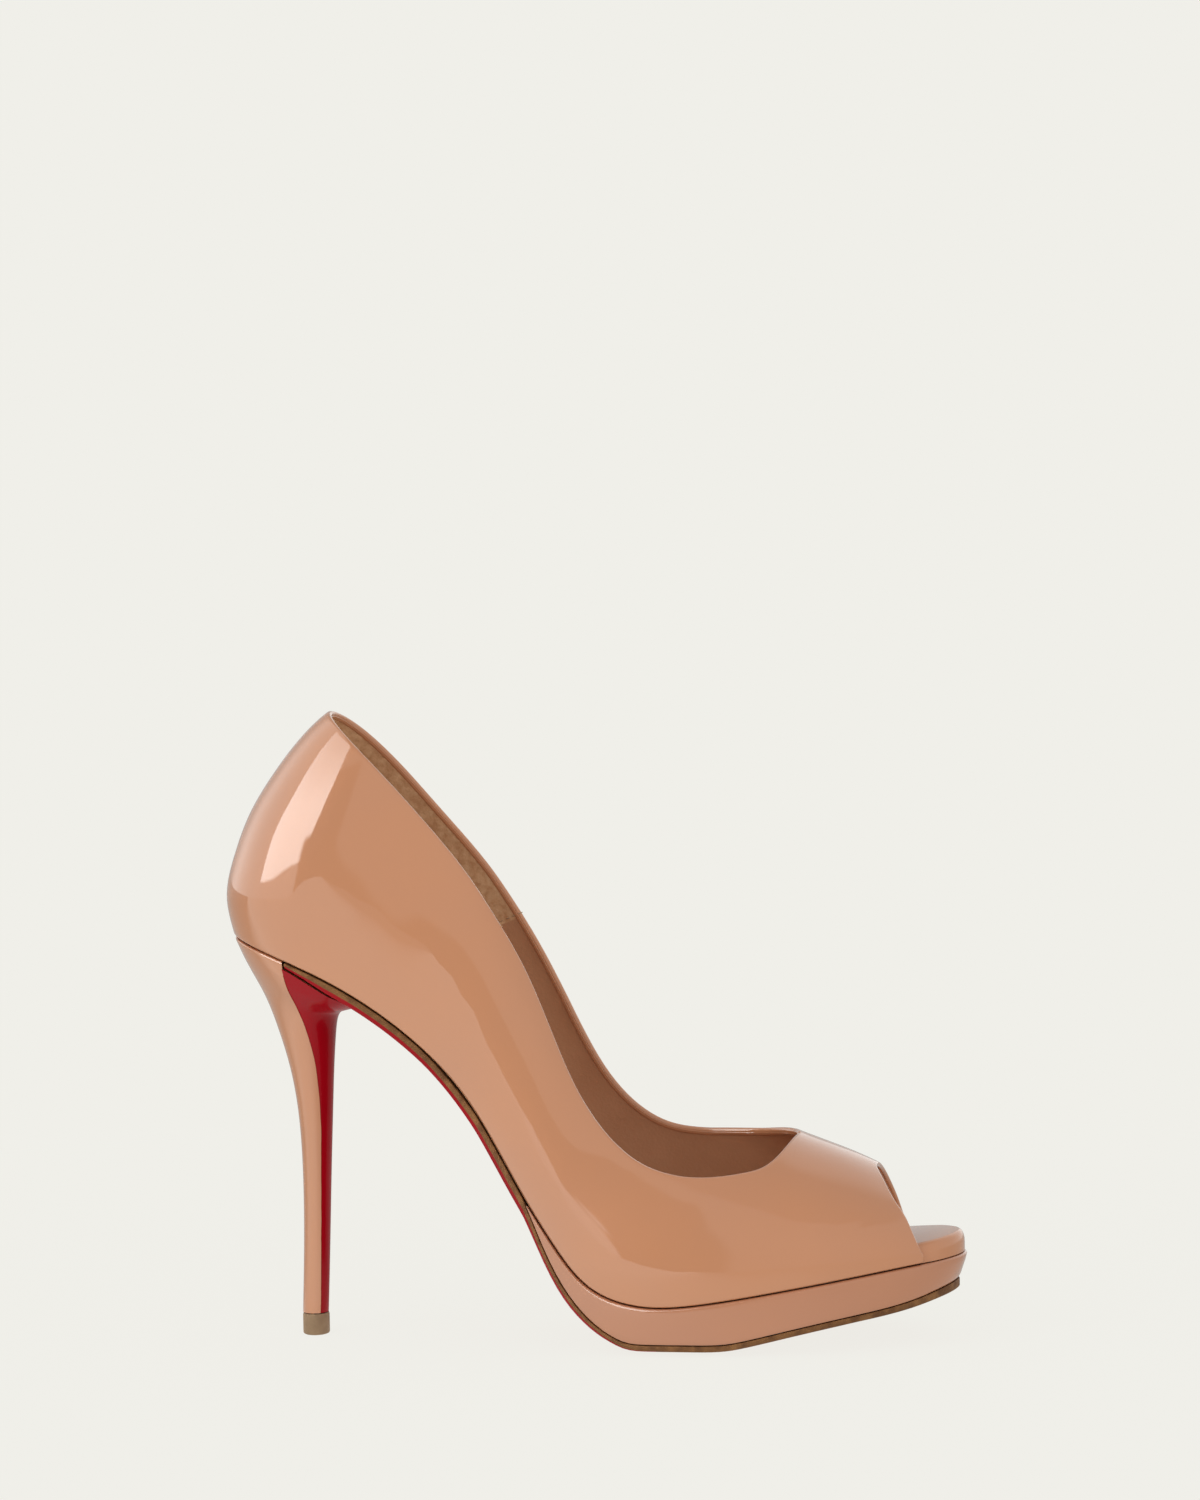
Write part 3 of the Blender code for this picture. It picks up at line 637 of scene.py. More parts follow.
def skin_height(point):
    """How far the skin lies over or under the last: slow swells, and the listed creases."""
    height = sum(rise * noise.noise(Vector(point) / width) for rise, width in SWELLS)
    if point[1] < 0:
        for start, end, half_width, depth in CREASES:
            along = np.array(end) - np.array(start)
            length = np.linalg.norm(along)
            way = np.array((point[0], point[2])) - np.array(start)
            place_along = np.clip(way @ along / length ** 2, 0, 1)
            off = np.linalg.norm(way - along * place_along)
            height -= depth * math.exp(-(off / half_width) ** 2) * math.sin(math.pi * place_along) ** 0.5
    return height


outer_lines, inner_lines = upper_lines(OUTER), upper_lines(INNER)
ring_lines = outer_lines[::-1] + inner_lines[1:]
skin = np.array([points for points, out in ring_lines])
skin_out = np.array([out for points, out in ring_lines])
back_line = len(outer_lines) - 1
throat_line = HEEL_STEPS + SIDE_STEPS + THROAT_STEPS
peep_line = throat_line + VAMP_STEPS
for i in range(throat_line, peep_line + 1):
    shared = skin_out[back_line - i, -1] + skin_out[back_line + i, -1]
    shared /= np.linalg.norm(shared)
    skin_out[back_line - i, -1] = skin_out[back_line + i, -1] = shared
    skin[back_line + i, -1] = skin[back_line - i, -1]
heights = np.array([[skin_height(point) for point in line] for line in skin])
skin = skin + skin_out * heights[:, :, None]
lining_side = skin - skin_out * UPPER_WALL


def loop_frames(points, outs, sign):
    """At each point of an edge: the point, the direction out of the skin and the one past its edge."""
    along = np.roll(points, -1, 0) - np.roll(points, 1, 0)
    past = np.cross(along, outs) * sign
    past /= np.linalg.norm(past, axis=1)[:, None]
    return points, outs, past


collar = slice(back_line - throat_line, back_line + throat_line)
collar_edge = loop_frames(skin[collar, -1], skin_out[collar, -1], 1)
last = len(skin) - 1
peep_points, peep_outs = [
    np.concatenate([
        grid[back_line - peep_line::-1, -1], grid[0, -2:0:-1], grid[:, 0], grid[last, 1:-1],
        grid[last:back_line + peep_line:-1, -1]])
    for grid in (skin, skin_out)]
peep_edge = loop_frames(peep_points, peep_outs, -1)


def swept_faces(edge, profile, closed_profile=False, closed_edge=True):
    """A profile carried along an edge: past the edge and in from the skin, at each point."""
    points, outs, past = edge
    rows = [points + past * p - outs * d for p, d in profile]
    if closed_profile:
        rows.append(rows[0])
    faces = []
    for first, second in zip(rows, rows[1:]):
        for i in range(0 if closed_edge else 1, len(points)):
            faces.append((0, (first[i - 1], first[i], second[i], second[i - 1])))
    if not closed_edge:
        faces += [(0, [row[end] for row in rows[:-1]]) for end in (0, -1)]
    return faces


fold_turns = np.linspace(0, math.pi, 9)
fold_profile = [(EDGE_ROUND * math.sin(a), EDGE_ROUND * (1 - math.cos(a))) for a in fold_turns]
shell = swept_faces(collar_edge, fold_profile) + swept_faces(peep_edge, fold_profile)
for i in range(len(skin) - 1):
    for k in range(WALL_ROWS):
        shell.append((0, (skin[i, k], skin[i + 1, k], skin[i + 1, k + 1], skin[i, k + 1])))
        inside = (lining_side[i, k], lining_side[i, k + 1], lining_side[i + 1, k + 1], lining_side[i + 1, k])
        shell.append((1, inside))

# The lining is smooth leather in front and a soft brushed heel grip behind, met by a slanted seam
GRIP_SEAM_POINT = (0.0813 + TO_MIDDLE[0], 0.0, 0.1195)
GRIP_SEAM_OUT = (-0.381, 0.0, 0.924)
SEAM_WIDTH = 0.0003
BRUSHED_DARK = (0.560, 0.300, 0.150, 1)
BRUSHED_PALE = (0.780, 0.510, 0.290, 1)
SMOOTH_ROUGH, BRUSHED_ROUGH = 0.50, 0.92
lining = leather("lining", (LINING_TAN, LINING_TAN_DARK), (60.0, 0.6), 0.50, (1100.0, 0.00005), 0.35, 0.38)
tree = lining.node_tree
shader = tree.nodes["Principled BSDF"]
place = wired(tree, "ShaderNodeTexCoord").outputs["Object"]
from_seam = wired(tree, "ShaderNodeVectorMath", place, GRIP_SEAM_POINT, operation="SUBTRACT").outputs[0]
behind_seam = wired(tree, "ShaderNodeVectorMath", from_seam, GRIP_SEAM_OUT, operation="DOT_PRODUCT")
is_grip = wired(tree, "ShaderNodeMapRange", behind_seam.outputs["Value"], 0.0, SEAM_WIDTH).outputs["Result"]
brushed = wired(tree, "ShaderNodeTexNoise", place, None, 420.0, 6.0, 0.7).outputs["Fac"]
brushed_tone = wired(tree, "ShaderNodeValToRGB", brushed)
for stop, at, colour in zip(brushed_tone.color_ramp.elements, (0.36, 0.66), (BRUSHED_DARK, BRUSHED_PALE)):
    stop.position = at
    stop.color = colour
smooth_tone = shader.inputs["Base Color"].links[0].from_socket
tree.links.new(mixed(tree, is_grip, smooth_tone, brushed_tone.outputs["Color"]), shader.inputs["Base Color"])
rough = wired(tree, "ShaderNodeMapRange", is_grip, 0.0, 1.0, SMOOTH_ROUGH, BRUSHED_ROUGH)
tree.links.new(rough.outputs["Result"], shader.inputs["Roughness"])

upper = make_piece("upper_skin", shell, [patent, lining])
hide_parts("upper")
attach(upper, "root")

# Turned-in edges
# The patent is skived thin, folded over the collar and over the peep opening, and glued down inside as a
# narrow strip that covers the cut edge of the lining.
TURN_IN = 0.0009
TURN_IN_PROUD = 0.00022
turn_in_profile = [
    (0.0004, UPPER_WALL - 0.0004),
    (0.0002, UPPER_WALL + 0.0001),
    (-0.0002, UPPER_WALL + 0.8 * TURN_IN_PROUD),
    (-0.4 * TURN_IN, UPPER_WALL + TURN_IN_PROUD),
    (-TURN_IN + 0.0003, UPPER_WALL + TURN_IN_PROUD),
    (-TURN_IN, UPPER_WALL + 0.6 * TURN_IN_PROUD),
    (-TURN_IN - 0.0001, UPPER_WALL - 0.0002),
    (-0.0008, UPPER_WALL - 0.0004),
]
collar_turn_in = make_piece("collar_turn_in", swept_faces(collar_edge, turn_in_profile, True), [patent])
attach(collar_turn_in, "root")

peep_span = [i for i, (x, y, z) in enumerate(peep_points)
             if x > PEEP_TOP_AT - 0.002 and z > feather_height(x) + 0.0060]
peep_span.sort(key=lambda i: peep_points[i][1])
peep_lip = [part[peep_span] for part in peep_edge]
peep_turn_in = make_piece("peep_turn_in", swept_faces(peep_lip, turn_in_profile, True, False), [patent])
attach(peep_turn_in, "root")

# Heel grip stitches
# One row of tan thread holds the brushed heel grip to the front lining, down both sides of the shoe. Each
# stitch is a short rounded length of thread lying in the leather.
STITCH_LENGTH = 0.0015
STITCH_SPACING = 0.0022
THREAD_THICK = 0.00042
bvh = BVHTree.FromObject(upper, bpy.context.evaluated_depsgraph_get())
seam_way = Vector((0.924, 0.0, 0.381))
seam_start = Vector((GRIP_SEAM_POINT[0], 0.0, GRIP_SEAM_POINT[2])) + Vector(GRIP_SEAM_OUT) * 0.0012
stitch_curve = bpy.data.curves.new("grip_stitch_line", "CURVE")
stitch_curve.dimensions = "3D"
for side in (OUTER, INNER):
    found = []
    for k in range(90):
        origin = seam_start + seam_way * (0.0090 - 0.0005 * k)
        hit, out, index, far = bvh.ray_cast(origin, Vector((0, side, 0)))
        if hit is None or hit.z > origin.z + 0.001:
            continue
        if insole_top(hit.x - TO_MIDDLE[0], hit.y) > hit.z - 0.001:
            break
        found.append(hit + out.normalized() * 0.00006)
    spline = stitch_curve.splines.new("POLY")
    spline.points.add(len(found) - 1)
    for point, spot in zip(spline.points, found):
        point.co = (*spot, 1)
thread, tree, shader = new_material("tan thread", {"Roughness": 0.7})
place = wired(tree, "ShaderNodeTexCoord").outputs["Object"]
twist = wired(tree, "ShaderNodeTexWave", place, 900.0).outputs["Fac"]
ply = wired(tree, "ShaderNodeValToRGB", twist)
ply.color_ramp.elements[0].color = (0.36, 0.22, 0.12, 1)
ply.color_ramp.elements[1].color = (0.55, 0.36, 0.21, 1)
tree.links.new(ply.outputs["Color"], shader.inputs["Base Color"])

stitching = bpy.data.node_groups.new("stitch row", "GeometryNodeTree")
face = stitching.interface
face.new_socket("Geometry", in_out="INPUT", socket_type="NodeSocketGeometry")
spacing_input, length_input, thick_input = [
    face.new_socket(name, in_out="INPUT", socket_type="NodeSocketFloat")
    for name in ("Stitch spacing", "Stitch length", "Thread thickness")]
face.new_socket("Geometry", in_out="OUTPUT", socket_type="NodeSocketGeometry")
given = wired(stitching, "NodeGroupInput").outputs
made = wired(stitching, "NodeGroupOutput")
thick = given["Thread thickness"]
size = wired(stitching, "ShaderNodeCombineXYZ", thick, thick, given["Stitch length"]).outputs["Vector"]
spread = wired(stitching, "GeometryNodeCurveToPoints", mode="LENGTH")
bead = wired(stitching, "GeometryNodeMeshUVSphere", 8, 6, 0.5)
put = wired(stitching, "GeometryNodeInstanceOnPoints", spread.outputs["Points"])
for source, node, label in (
        (given["Geometry"], spread, "Curve"), (given["Stitch spacing"], spread, "Length"),
        (bead.outputs["Mesh"], put, "Instance"), (spread.outputs["Rotation"], put, "Rotation"),
        (size, put, "Scale")):
    stitching.links.new(source, node.inputs[label])
real = wired(stitching, "GeometryNodeRealizeInstances", put.outputs["Instances"])
dress = wired(stitching, "GeometryNodeSetMaterial", real.outputs["Geometry"])
dress.inputs["Material"].default_value = thread
stitching.links.new(dress.outputs["Geometry"], made.inputs["Geometry"])

stitch_line = add_object("grip_stitch_line", stitch_curve)
sewn = stitch_line.modifiers.new("stitches", "NODES")
sewn.node_group = stitching
sewn[spacing_input.identifier] = STITCH_SPACING
sewn[length_input.identifier] = STITCH_LENGTH
sewn[thick_input.identifier] = THREAD_THICK
ready = stitch_line.evaluated_get(bpy.context.evaluated_depsgraph_get())
stitch_mesh = bpy.data.meshes.new_from_object(ready)
bpy.data.objects.remove(stitch_line)
grip_stitches = add_object("grip_stitches", stitch_mesh)
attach(grip_stitches, "root")

# Platform
# A light block under the forefoot, wrapped in the same patent as the upper. The cover is pulled round its top
# corner, which catches the light under the seam, and it runs out to a thin wedge under the waist.
PLATFORM_START_AT = 0.0905
PLATFORM_ROUND = 0.0009
TOE_UNDERCUT = 0.0022
UNDERCUT_FROM = 0.1610
SHANK_THICK = 0.0028
SHANK_CROWN = 0.0012
SOLE_EDGE_RISE = 0.0015
SOLE_TAIL = 0.45
SOLE_TAIL_LENGTH = 0.012
SOLE_EDGE_FROM = 0.56
SOLE_START_AT = 0.0206
FLAT_RUN_IN = 0.0008


def sole_top(x, y):
    """Upper face of the outsole: against the upper in the shank, under the platform in front."""
    depth = np.clip(platform_at(x / LENGTH), 0, None)
    line = feather_height(x) - CLEAR * stretch(x) - PLATFORM_THICK * depth
    to_edge = np.clip((across_share(x, y) - SOLE_EDGE_FROM) / (1 - SOLE_EDGE_FROM), 0, 1)
    raised = SOLE_EDGE_RISE * np.clip(depth, 0, 1) * to_edge ** 2
    near_floor = np.clip(FLAT_RUN_IN - np.abs(line - SOLE_THICK), 0, None)
    return np.clip(line, SOLE_THICK, None) + near_floor ** 2 / (4 * FLAT_RUN_IN) + raised


def toe_undercut(x):
    """How far the sole's edge draws in under the toe."""
    return -TOE_UNDERCUT * np.clip((x - UNDERCUT_FROM) / (LENGTH - UNDERCUT_FROM), 0, 1)


def platform_top(x, y):
    return feather_height(x) - CLEAR * stretch(x) + 0 * y


def platform_bottom(x, y):
    return sole_top(x, y) + CLEAR * stretch(x)


def platform_edge(x):
    rows = rounded_edge(PLATFORM_ROUND, 0.10)[:-1]
    draw = toe_undercut(x)
    rows += [(0.2 * draw, 0.35), (0.5 * draw, 0.60), (0.8 * draw, 0.85)]
    return rows + [(draw - 0.0001, 0.96), (draw - 0.0003, 1.0)]


def plain_finish(kind, x):
    return 0


# The platform's patent is the upper's nude painted darker: painted shade for the dimmer light that reaches it
NUDE_PAINTED_SHADE = (0.455, 0.196, 0.104)
NUDE_WARM_PAINTED_SHADE = (0.480, 0.204, 0.102)
platform_patent_painted_shade = leather(
    "platform patent painted shade", (NUDE_PAINTED_SHADE, NUDE_WARM_PAINTED_SHADE), (28.0, 0.8), 0.30, (900.0, 0.00002), 1.0, 0.02)
platform = make_piece(
    "platform_cover",
    sheet_faces(stations(PLATFORM_START_AT), platform_top, platform_bottom, platform_edge, plain_finish),
    [platform_patent_painted_shade])
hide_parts("platform")
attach(platform, "root")

# Outsole
# Thin sole leather from the toe up the shank to the seat. Its trimmed edge is left brown and waxed, and its
# underside has a red lacquer, which runs out a little way round the lower corner.
RED = (0.34, 0.0020, 0.0080)
RED_DEEP = (0.27, 0.0015, 0.0060)
EDGE_BROWN = (0.235, 0.108, 0.038)
EDGE_DARK = (0.120, 0.050, 0.018)
SHANK_EDGE_TO = 0.128


def sole_bottom(x, y):
    """Underside of the outsole: flat under the ball and crowned along the shank."""
    front = np.clip(platform_at(x / LENGTH), 0, 1)
    rise = np.clip(sole_top(x, y) / SOLE_THICK - 1, 0, 1)
    slope = 1 + (stretch(x) - 1) * rise
    thin = SOLE_TAIL + (1 - SOLE_TAIL) * np.clip((x - SOLE_START_AT) / SOLE_TAIL_LENGTH, 0, 1)
    thick = (SHANK_THICK * thin + (SOLE_THICK - SHANK_THICK) * front) * slope
    crown = SHANK_CROWN * thin * (1 - front) * (1 - across_share(x, y) ** 2) * slope
    return sole_top(x, y) - thick - crown


def sole_edge_rows(x):
    draw = toe_undercut(x)
    shank = 1 - soft_step(x, SHANK_EDGE_TO - 0.020, SHANK_EDGE_TO)
    bevel_from = 0.88 - 0.34 * shank
    bevel = 0.0004 + 0.0008 * shank
    return [(draw - 0.0002, 0.0), (draw, 0.10), (draw, 0.30), (draw, bevel_from), (draw - 0.35 * bevel, 0.94),
            (draw - bevel, 1.0)]


def sole_finish(kind, x):
    return 0 if kind == "under" or (kind == "low side" and x < SHANK_EDGE_TO) else 1


red_lacquer = leather("red lacquer", (RED, RED_DEEP), (35.0, 0.6), 0.25, (500.0, 0.00003), 0.12, 0.08)
red_lacquer.node_tree.nodes["Principled BSDF"].inputs["Specular IOR Level"].default_value = 0.05
edge_leather = leather("waxed sole edge", (EDGE_BROWN, EDGE_DARK), (330.0, 1.0), 0.55, (1500.0, 0.00012))
outsole = make_piece(
    "outsole_leather",
    sheet_faces(stations(SOLE_START_AT), sole_top, sole_bottom, sole_edge_rows, sole_finish),
    [red_lacquer, edge_leather])
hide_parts("outsole")
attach(outsole, "root")

# Heel
# A tall plastic heel with a steel pin, covered in the upper's patent. The cover starts with a soft roll under
# the seat, and its two long edges meet the lacquered front in a slightly uneven cut.
TOP_LIFT_HEIGHT = 0.0062
BREAST_SKIN = 0.0010
BREAST_STEP = 0.0002
TILT_ENDS = 0.46
SEAT_FADE = 0.012
SEAT_BLEND_DOWN = 0.0237
CROWN_FADE = 0.05
HEEL_ROLL = 0.0009
HEEL_RINGS = 90
HEEL_SHAPE = [
    # share down the heel, where its back, widest place, cover's edge and front lie, half width, tilt
    (0.00, 0.0020, 0.0280, 0.0197, 0.0400, 0.0248, 1.00),
    (0.07, 0.0055, 0.0247, 0.0208, 0.0350, 0.0203, 0.84),
    (0.15, 0.0101, 0.0229, 0.0226, 0.0320, 0.0149, 0.52),
    (0.24, 0.0139, 0.0229, 0.0246, 0.0310, 0.0109, 0.24),
    (0.34, 0.0171, 0.0236, 0.0262, 0.0304, 0.0084, 0.07),
    (0.46, 0.0194, 0.0245, 0.0270, 0.0298, 0.0069, 0.00),
    (0.60, 0.0204, 0.0248, 0.0268, 0.0291, 0.0061, 0.00),
    (0.83, 0.0203, 0.0242, 0.0261, 0.0281, 0.0053, 0.00),
    (1.00, 0.0196, 0.0235, 0.0255, 0.0273, 0.0049, 0.00),
]
heel_back = curve_of(HEEL_SHAPE, 1)
heel_widest = curve_of(HEEL_SHAPE, 2)
heel_cover_edge = curve_of(HEEL_SHAPE, 3)
heel_front = curve_of(HEEL_SHAPE, 4)
heel_half = curve_of(HEEL_SHAPE, 5)
heel_tilt = curve_of(HEEL_SHAPE, 6)


def under_sole(x):
    """Height that the front of the heel reaches under the middle of the outsole."""
    return sole_bottom(x, middle(x)) - CLEAR * stretch(x)


def heel_ring(down, inset, part, gap=0.0, count=26):
    """Half a ring of the heel: its back, to the cover's edge, or its front, from a gap past it."""
    back, widest, front = float(heel_back(down)), float(heel_widest(down)), float(heel_front(down))
    seat_top = feather_height(SEAT_SETBACK) - CLEAR * stretch(SEAT_SETBACK)
    level = seat_top + (TOP_LIFT_HEIGHT + CLEAR - seat_top) * down
    tilt = float(heel_tilt(down)) if down < TILT_ENDS else 0.0
    to_back = widest - back
    to_front = front - widest
    uneven = 0.00014 * noise.noise(Vector((down * 17, 0.3, 0.7)))
    cut = float(heel_cover_edge(down)) + uneven
    past = cut + gap - widest
    edge_angle = math.acos(-past / ((to_front if past > 0 else to_back) - inset))
    turns = (0, edge_angle) if part == "back" else (edge_angle, math.pi)
    settle = min(down / SEAT_BLEND_DOWN, 1)
    points = []
    for angle in np.linspace(*turns, count + 1):
        reach = to_back if angle < math.pi / 2 else to_front
        x = widest - (reach - inset) * math.cos(angle)
        y = (float(heel_half(down)) - inset) * math.sin(angle)
        seat = under_sole(x)
        seat += (sole_bottom(x, middle(x) + y) - sole_bottom(x, middle(x))) * max(1 - down / CROWN_FADE, 0)
        if part == "back":
            near_edge = np.clip(1 + (x - cut) / SEAT_FADE, 0, 1)
            near_edge = near_edge ** 2 * (3 - 2 * near_edge) * settle
            seat += (feather_height(x) - seat) * (1 - near_edge)
        points.append((x, y, level + tilt * (seat - feather_height(back))))
    return points


def halves(points):
    """A half ring on the outer and on the inner side."""
    return [[(x, side * y, z) for x, y, z in points] for side in (OUTER, INNER)]


def stack_faces(rings):
    """Faces of a stack of rings, each given as its outer and inner half, with both ends closed."""
    faces = []
    for (near, far), (near_next, far_next) in zip(rings, rings[1:]):
        for first, second in ((near, near_next), (far, far_next)):
            for i in range(len(first) - 1):
                faces.append((0, (first[i], first[i + 1], second[i + 1], second[i])))
    for near, far in (rings[0], rings[-1]):
        for i in range(len(near) - 1):
            faces.append((0, (near[i], near[i + 1], far[i + 1], far[i])))
    return faces


ROLL_DOWN = 0.0095
below_roll = ROLL_DOWN + (1 - ROLL_DOWN) * np.linspace(0, 1, HEEL_RINGS) ** 1.25
heel_downs = np.concatenate([[0.0, 0.001, 0.003, 0.006], below_roll])
heel_insets = [HEEL_ROLL * (1 - math.sqrt(1 - (1 - min(d / ROLL_DOWN, 1)) ** 2)) for d in heel_downs]
heel_rings = []
for down, inset in zip(heel_downs, heel_insets):
    back_half = heel_ring(down, inset, "back")
    front_half = heel_ring(down, max(inset, BREAST_SKIN + CLEAR), "front", CLEAR / 2, 14)
    heel_rings.append(halves(back_half + front_half))
heel = make_piece("heel_cover", stack_faces(heel_rings), [patent])
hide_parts("heel")
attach(heel, "root")

# Heel breast
# A strip of the same red lacquered leather as the underside covers the heel's front face. It flares at the
# top and runs up under the shank.
breast_rings = []
for down in np.linspace(0, 1, HEEL_RINGS) ** 1.25:
    lines = []
    for inset in (BREAST_STEP, BREAST_SKIN):
        outer, inner = halves(heel_ring(down, inset, "front", 0.2 * CLEAR, 18))
        lines.append(outer + inner[-2::-1])
    breast_rings.append(lines)
breast_faces = stack_faces(breast_rings)
for (front, back), (front_next, back_next) in zip(breast_rings, breast_rings[1:]):
    for end in (0, -1):
        breast_faces.append((0, (front[end], front_next[end], back_next[end], back[end])))
breast = make_piece("breast_cover", breast_faces, [red_lacquer])
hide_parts("heel_breast")
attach(breast, "root")

# Top lift
# A small moulded rubber tip, pinned into the end of the heel and ground flush with it.
LIFT_ROUND = 0.0005
RUBBER = (0.300, 0.200, 0.118)
RUBBER_DARK = (0.235, 0.152, 0.088)
lift_rubber = leather("lift rubber", (RUBBER, RUBBER_DARK), (260.0, 0.8), 0.62, (2400.0, 0.00004))
lift_profile = [
    # height over the floor, how far the ring is drawn in
    (0.0, LIFT_ROUND),
    (0.00015, 0.00018),
    (LIFT_ROUND, 0.0),
    (0.0057, 0.0),
    (TOP_LIFT_HEIGHT, 0.0002),
]
lift_rings = []
for height, inset in lift_profile:
    half = heel_ring(1.0, inset, "back") + heel_ring(1.0, inset, "front")[1:]
    lift_rings.append(halves([(x, y, height) for x, y, _ in half]))
lift = make_piece("lift_tip", stack_faces(lift_rings), [lift_rubber])
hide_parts("top_lift")
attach(lift, "root")

# Floor
# A plain pale floor that runs out of sight on all sides. It glows, so that only a faint shadow is left, and
# close round the shoe its glow is painted a little darker as a painted shadow. The patent sees it brighter on
# the left, where the lamps are, and dimmer behind the shoe: that glow is painted lamp light, seen in
# reflections only.
PALE = (0.871, 0.863, 0.815)
PALE_PAINTED_SHADOW = (0.83, 0.822, 0.776)
LIT_LEFT = (2.0, 1.98, 1.90)
LIT_RIGHT = (0.95, 0.94, 0.90)
LIT_BEHIND = (0.50, 0.49, 0.47)
FLOOR_RADIUS = 60.0
SHADOW_REACH = 0.45
floor_mesh = bpy.data.meshes.new("floor")
bm = bmesh.new()
bmesh.ops.create_circle(bm, cap_ends=True, segments=64, radius=FLOOR_RADIUS)
bm.to_mesh(floor_mesh)
bm.free()
floor = add_object("floor", floor_mesh)
floor_paper, tree, shader = new_material(
    "pale paper", {"Roughness": 1.0, "Specular IOR Level": 0.0, "Emission Strength": 1.0})
place = wired(tree, "ShaderNodeTexCoord").outputs["Object"]
away = wired(tree, "ShaderNodeVectorMath", place, operation="LENGTH").outputs["Value"]
near = wired(tree, "ShaderNodeMapRange", away, 0.05, SHADOW_REACH, 1.0, 0.0, interpolation_type="SMOOTHSTEP")
split = wired(tree, "ShaderNodeSeparateXYZ", place).outputs
lamp_side = wired(tree, "ShaderNodeMapRange", split["X"], -0.10, 0.14, interpolation_type="SMOOTHSTEP")
behind = wired(tree, "ShaderNodeMapRange", split["Y"], -0.05, 0.05)
shade = mixed(tree, near.outputs["Result"], (0.0, 0.0, 0.0), (0.05, 0.05, 0.047))
# Close round the shoe the floor's glow is painted darker: a painted shadow
glow = mixed(tree, near.outputs["Result"], PALE, PALE_PAINTED_SHADOW)
# Seen only in reflections: the floor's glow painted brighter on the left and dimmer behind, as painted lamp
# light
lit_floor = mixed(tree, lamp_side.outputs["Result"], LIT_LEFT, LIT_RIGHT)
floor_painted_light = mixed(tree, behind.outputs["Result"], lit_floor, LIT_BEHIND)
ray = wired(tree, "ShaderNodeLightPath").outputs["Is Glossy Ray"]
tree.links.new(shade, shader.inputs["Base Color"])
tree.links.new(mixed(tree, ray, glow, floor_painted_light), shader.inputs["Emission Color"])
floor_mesh.materials.append(floor_paper)

# Light
# A plain studio. The varnish reflects one large soft box on the left with a dark flag beside it, a white wall
# to the left and a dimmer room to the right. An even, soft light from all around fills the shoe.
BOX_LEFT, BOX_RIGHT, BOX_FOOT, BOX_HEAD = -73.0, -17.0, 8.0, 58.0
BOX_BRIGHT, BOX_DIM = 9.6, 5.2
FLAG_RIGHT, FLAG_HEAD = 6.0, 40.0
LEFT_WALL, RIGHT_ROOM, FLAG, OVERHEAD, LEFT_BEHIND, RIGHT_BEHIND = 2.3, 1.05, 0.50, 0.70, 0.60, 1.25
ROOM_BRIGHT = 0.62

world = bpy.data.worlds.new("studio")
bpy.context.scene.world = world
world.use_nodes = True
tree = world.node_tree


def soft_mask(angle, start, end):
    """0 before the start angle and 1 past the end, or the other way round where the end comes first."""
    kind = "ShaderNodeMapRange"
    return wired(tree, kind, angle, start, end, 0.0, 1.0, interpolation_type="SMOOTHSTEP").outputs[0]


def times(first, second):
    return wired(tree, "ShaderNodeMath", first, second, operation="MULTIPLY").outputs[0]


def toward(base, value, mask):
    """The base brightness, taken to the value where the mask is 1."""
    return wired(tree, "ShaderNodeMix", mask, None, base, value).outputs[0]


sky = wired(tree, "ShaderNodeTexCoord").outputs["Generated"]
way = wired(tree, "ShaderNodeSeparateXYZ", sky).outputs
turned = wired(tree, "ShaderNodeMath", way["X"], times(way["Y"], -1.0), operation="ARCTAN2").outputs[0]
raised = wired(tree, "ShaderNodeMath", way["Z"], operation="ARCSINE").outputs[0]
turn = times(turned, 180 / math.pi)
height = times(raised, 180 / math.pi)
bright = toward(RIGHT_ROOM, OVERHEAD, soft_mask(height, 48.0, 52.0))
bright = toward(bright, RIGHT_BEHIND, soft_mask(turn, 120.0, 150.0))
bright = toward(bright, LEFT_WALL, soft_mask(turn, BOX_RIGHT + 5.0, BOX_RIGHT - 7.0))
bright = toward(bright, LEFT_BEHIND, soft_mask(turn, -115.0, -145.0))
in_flag = times(soft_mask(turn, BOX_RIGHT - 8.0, BOX_RIGHT - 6.0),
                soft_mask(turn, FLAG_RIGHT + 1.5, FLAG_RIGHT - 1.5))
in_flag = times(in_flag, soft_mask(height, FLAG_HEAD + 4.0, FLAG_HEAD))
bright = toward(bright, FLAG, in_flag)
in_box = times(soft_mask(turn, BOX_LEFT - 2.0, BOX_LEFT), soft_mask(turn, BOX_RIGHT, BOX_RIGHT - 1.5))
in_box = times(in_box, soft_mask(height, BOX_FOOT - 1.5, BOX_FOOT))
in_box = times(in_box, soft_mask(height, BOX_HEAD + 2.0, BOX_HEAD))
low_corner = times(soft_mask(turn, -27.0, -21.0), soft_mask(height, 18.0, 14.0))
in_box = toward(in_box, 0.0, low_corner)
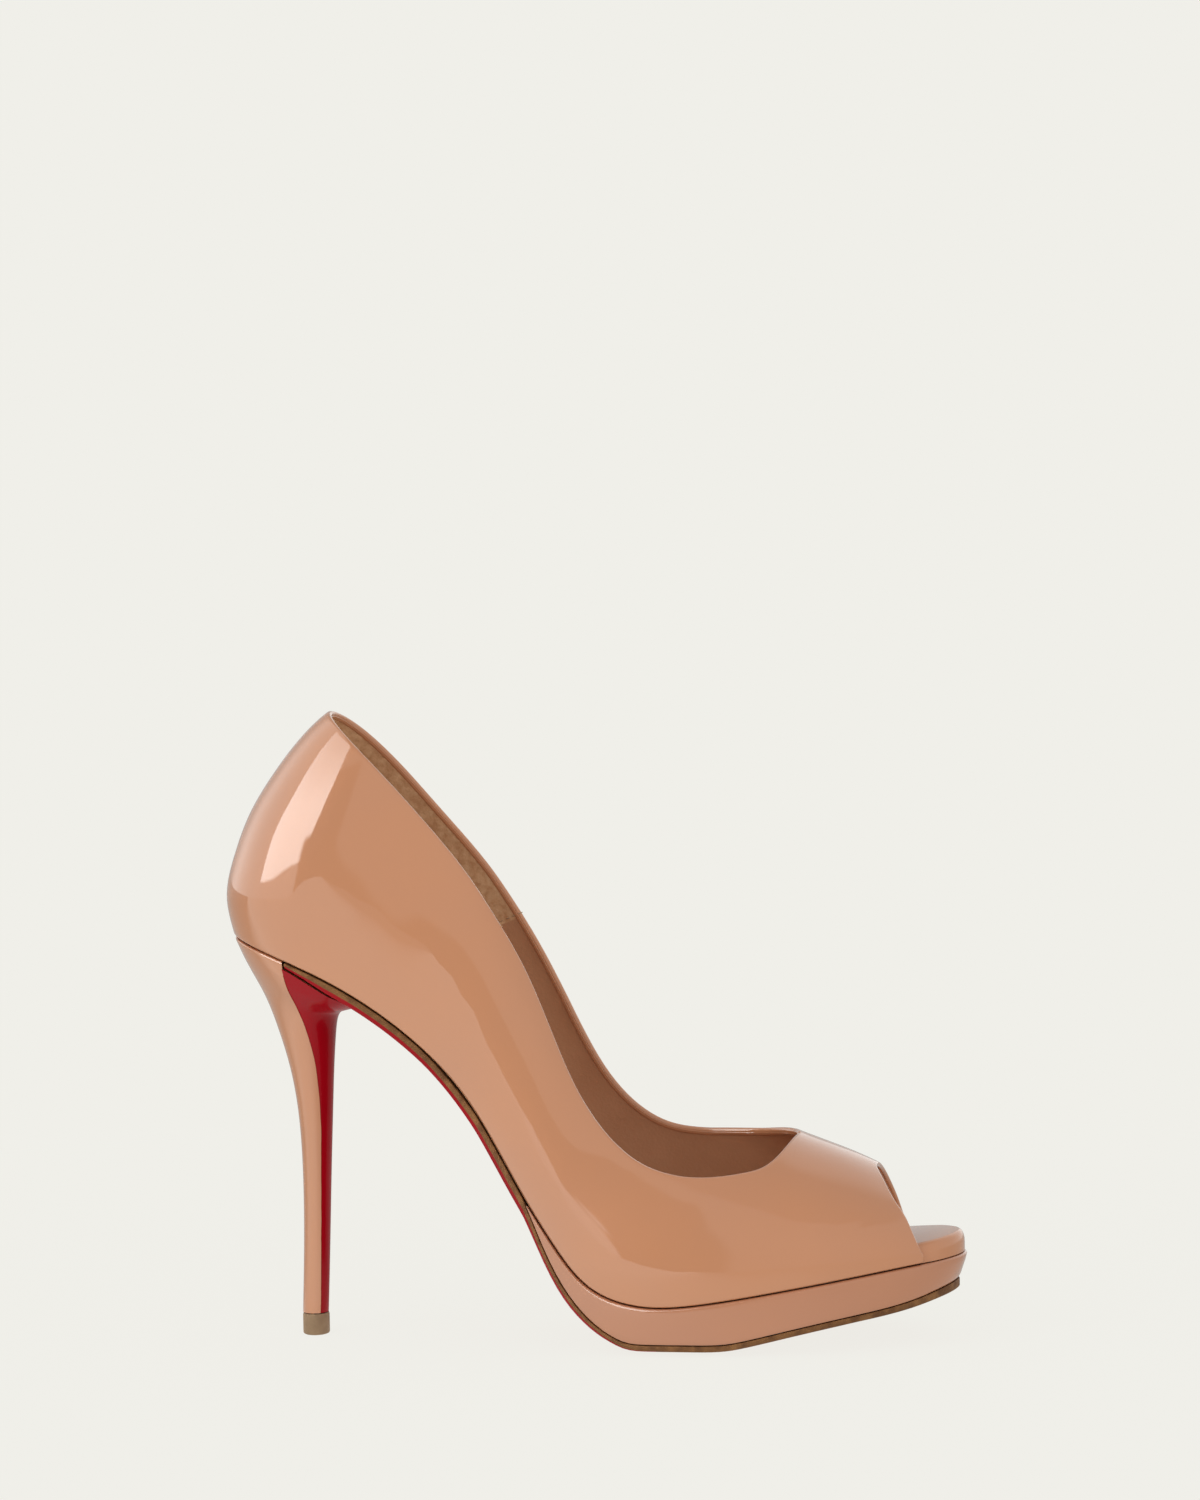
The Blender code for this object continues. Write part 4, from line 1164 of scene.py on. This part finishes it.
box_glow = toward(BOX_BRIGHT, BOX_DIM, soft_mask(height, 26.0, 60.0))
bright = toward(bright, box_glow, in_box)

studio = wired(tree, "ShaderNodeBackground", (1.0, 0.99, 0.97, 1), bright).outputs[0]
room = wired(tree, "ShaderNodeBackground", (0.97, 0.98, 1.0, 1), ROOM_BRIGHT).outputs[0]
tree.nodes.remove(tree.nodes["Background"])
backdrop = wired(tree, "ShaderNodeBackground", (*PALE, 1), 1.0).outputs[0]
path = wired(tree, "ShaderNodeLightPath").outputs
unseen = wired(tree, "ShaderNodeMixShader", path["Is Glossy Ray"], room, studio).outputs[0]
choose = wired(tree, "ShaderNodeMixShader", path["Is Camera Ray"], unseen, backdrop).outputs[0]
tree.links.new(choose, tree.nodes["World Output"].inputs["Surface"])


def fill_light(name, at, toward_point, width, height, power):
    """A large soft lamp that lights the leather and leaves its reflections to the studio."""
    light = bpy.data.lights.new(name, "AREA")
    light.shape = "RECTANGLE"
    light.size = width
    light.size_y = height
    light.energy = power
    lamp = add_object(name, light)
    lamp.location = at
    lamp.rotation_euler = (Vector(toward_point) - Vector(at)).to_track_quat("-Z", "Y").to_euler()
    lamp.visible_glossy = False


fill_light("left fill", (-1.30, -1.50, 1.10), (0, 0, 0.08), 1.2, 1.0, 11)
fill_light("front fill", (0.90, -1.60, 0.90), (0, 0, 0.08), 1.2, 1.0, 7)

# Camera
# A long lens a little over two metres away, from the outer side and a little in front and above.
camera_data = bpy.data.cameras.new("camera")
camera_data.sensor_fit = "VERTICAL"
camera_data.sensor_height = 36.0
camera_data.lens = 182.07
camera_data.shift_x = 0.00304
camera_data.clip_end = 200.0
camera = add_object("camera", camera_data)
to_right = Vector((0.98915841, 0.14582041, -0.01737972))
to_top = Vector((0.00382347, 0.0927352, 0.99568347))
turned = Matrix((to_right, to_top, to_right.cross(to_top))).transposed().to_4x4()
camera.matrix_world = Matrix.Translation((0.32337, -2.15908, 0.37073)) @ turned
bpy.context.scene.camera = camera
bpy.context.scene.view_settings.view_transform = "Standard"
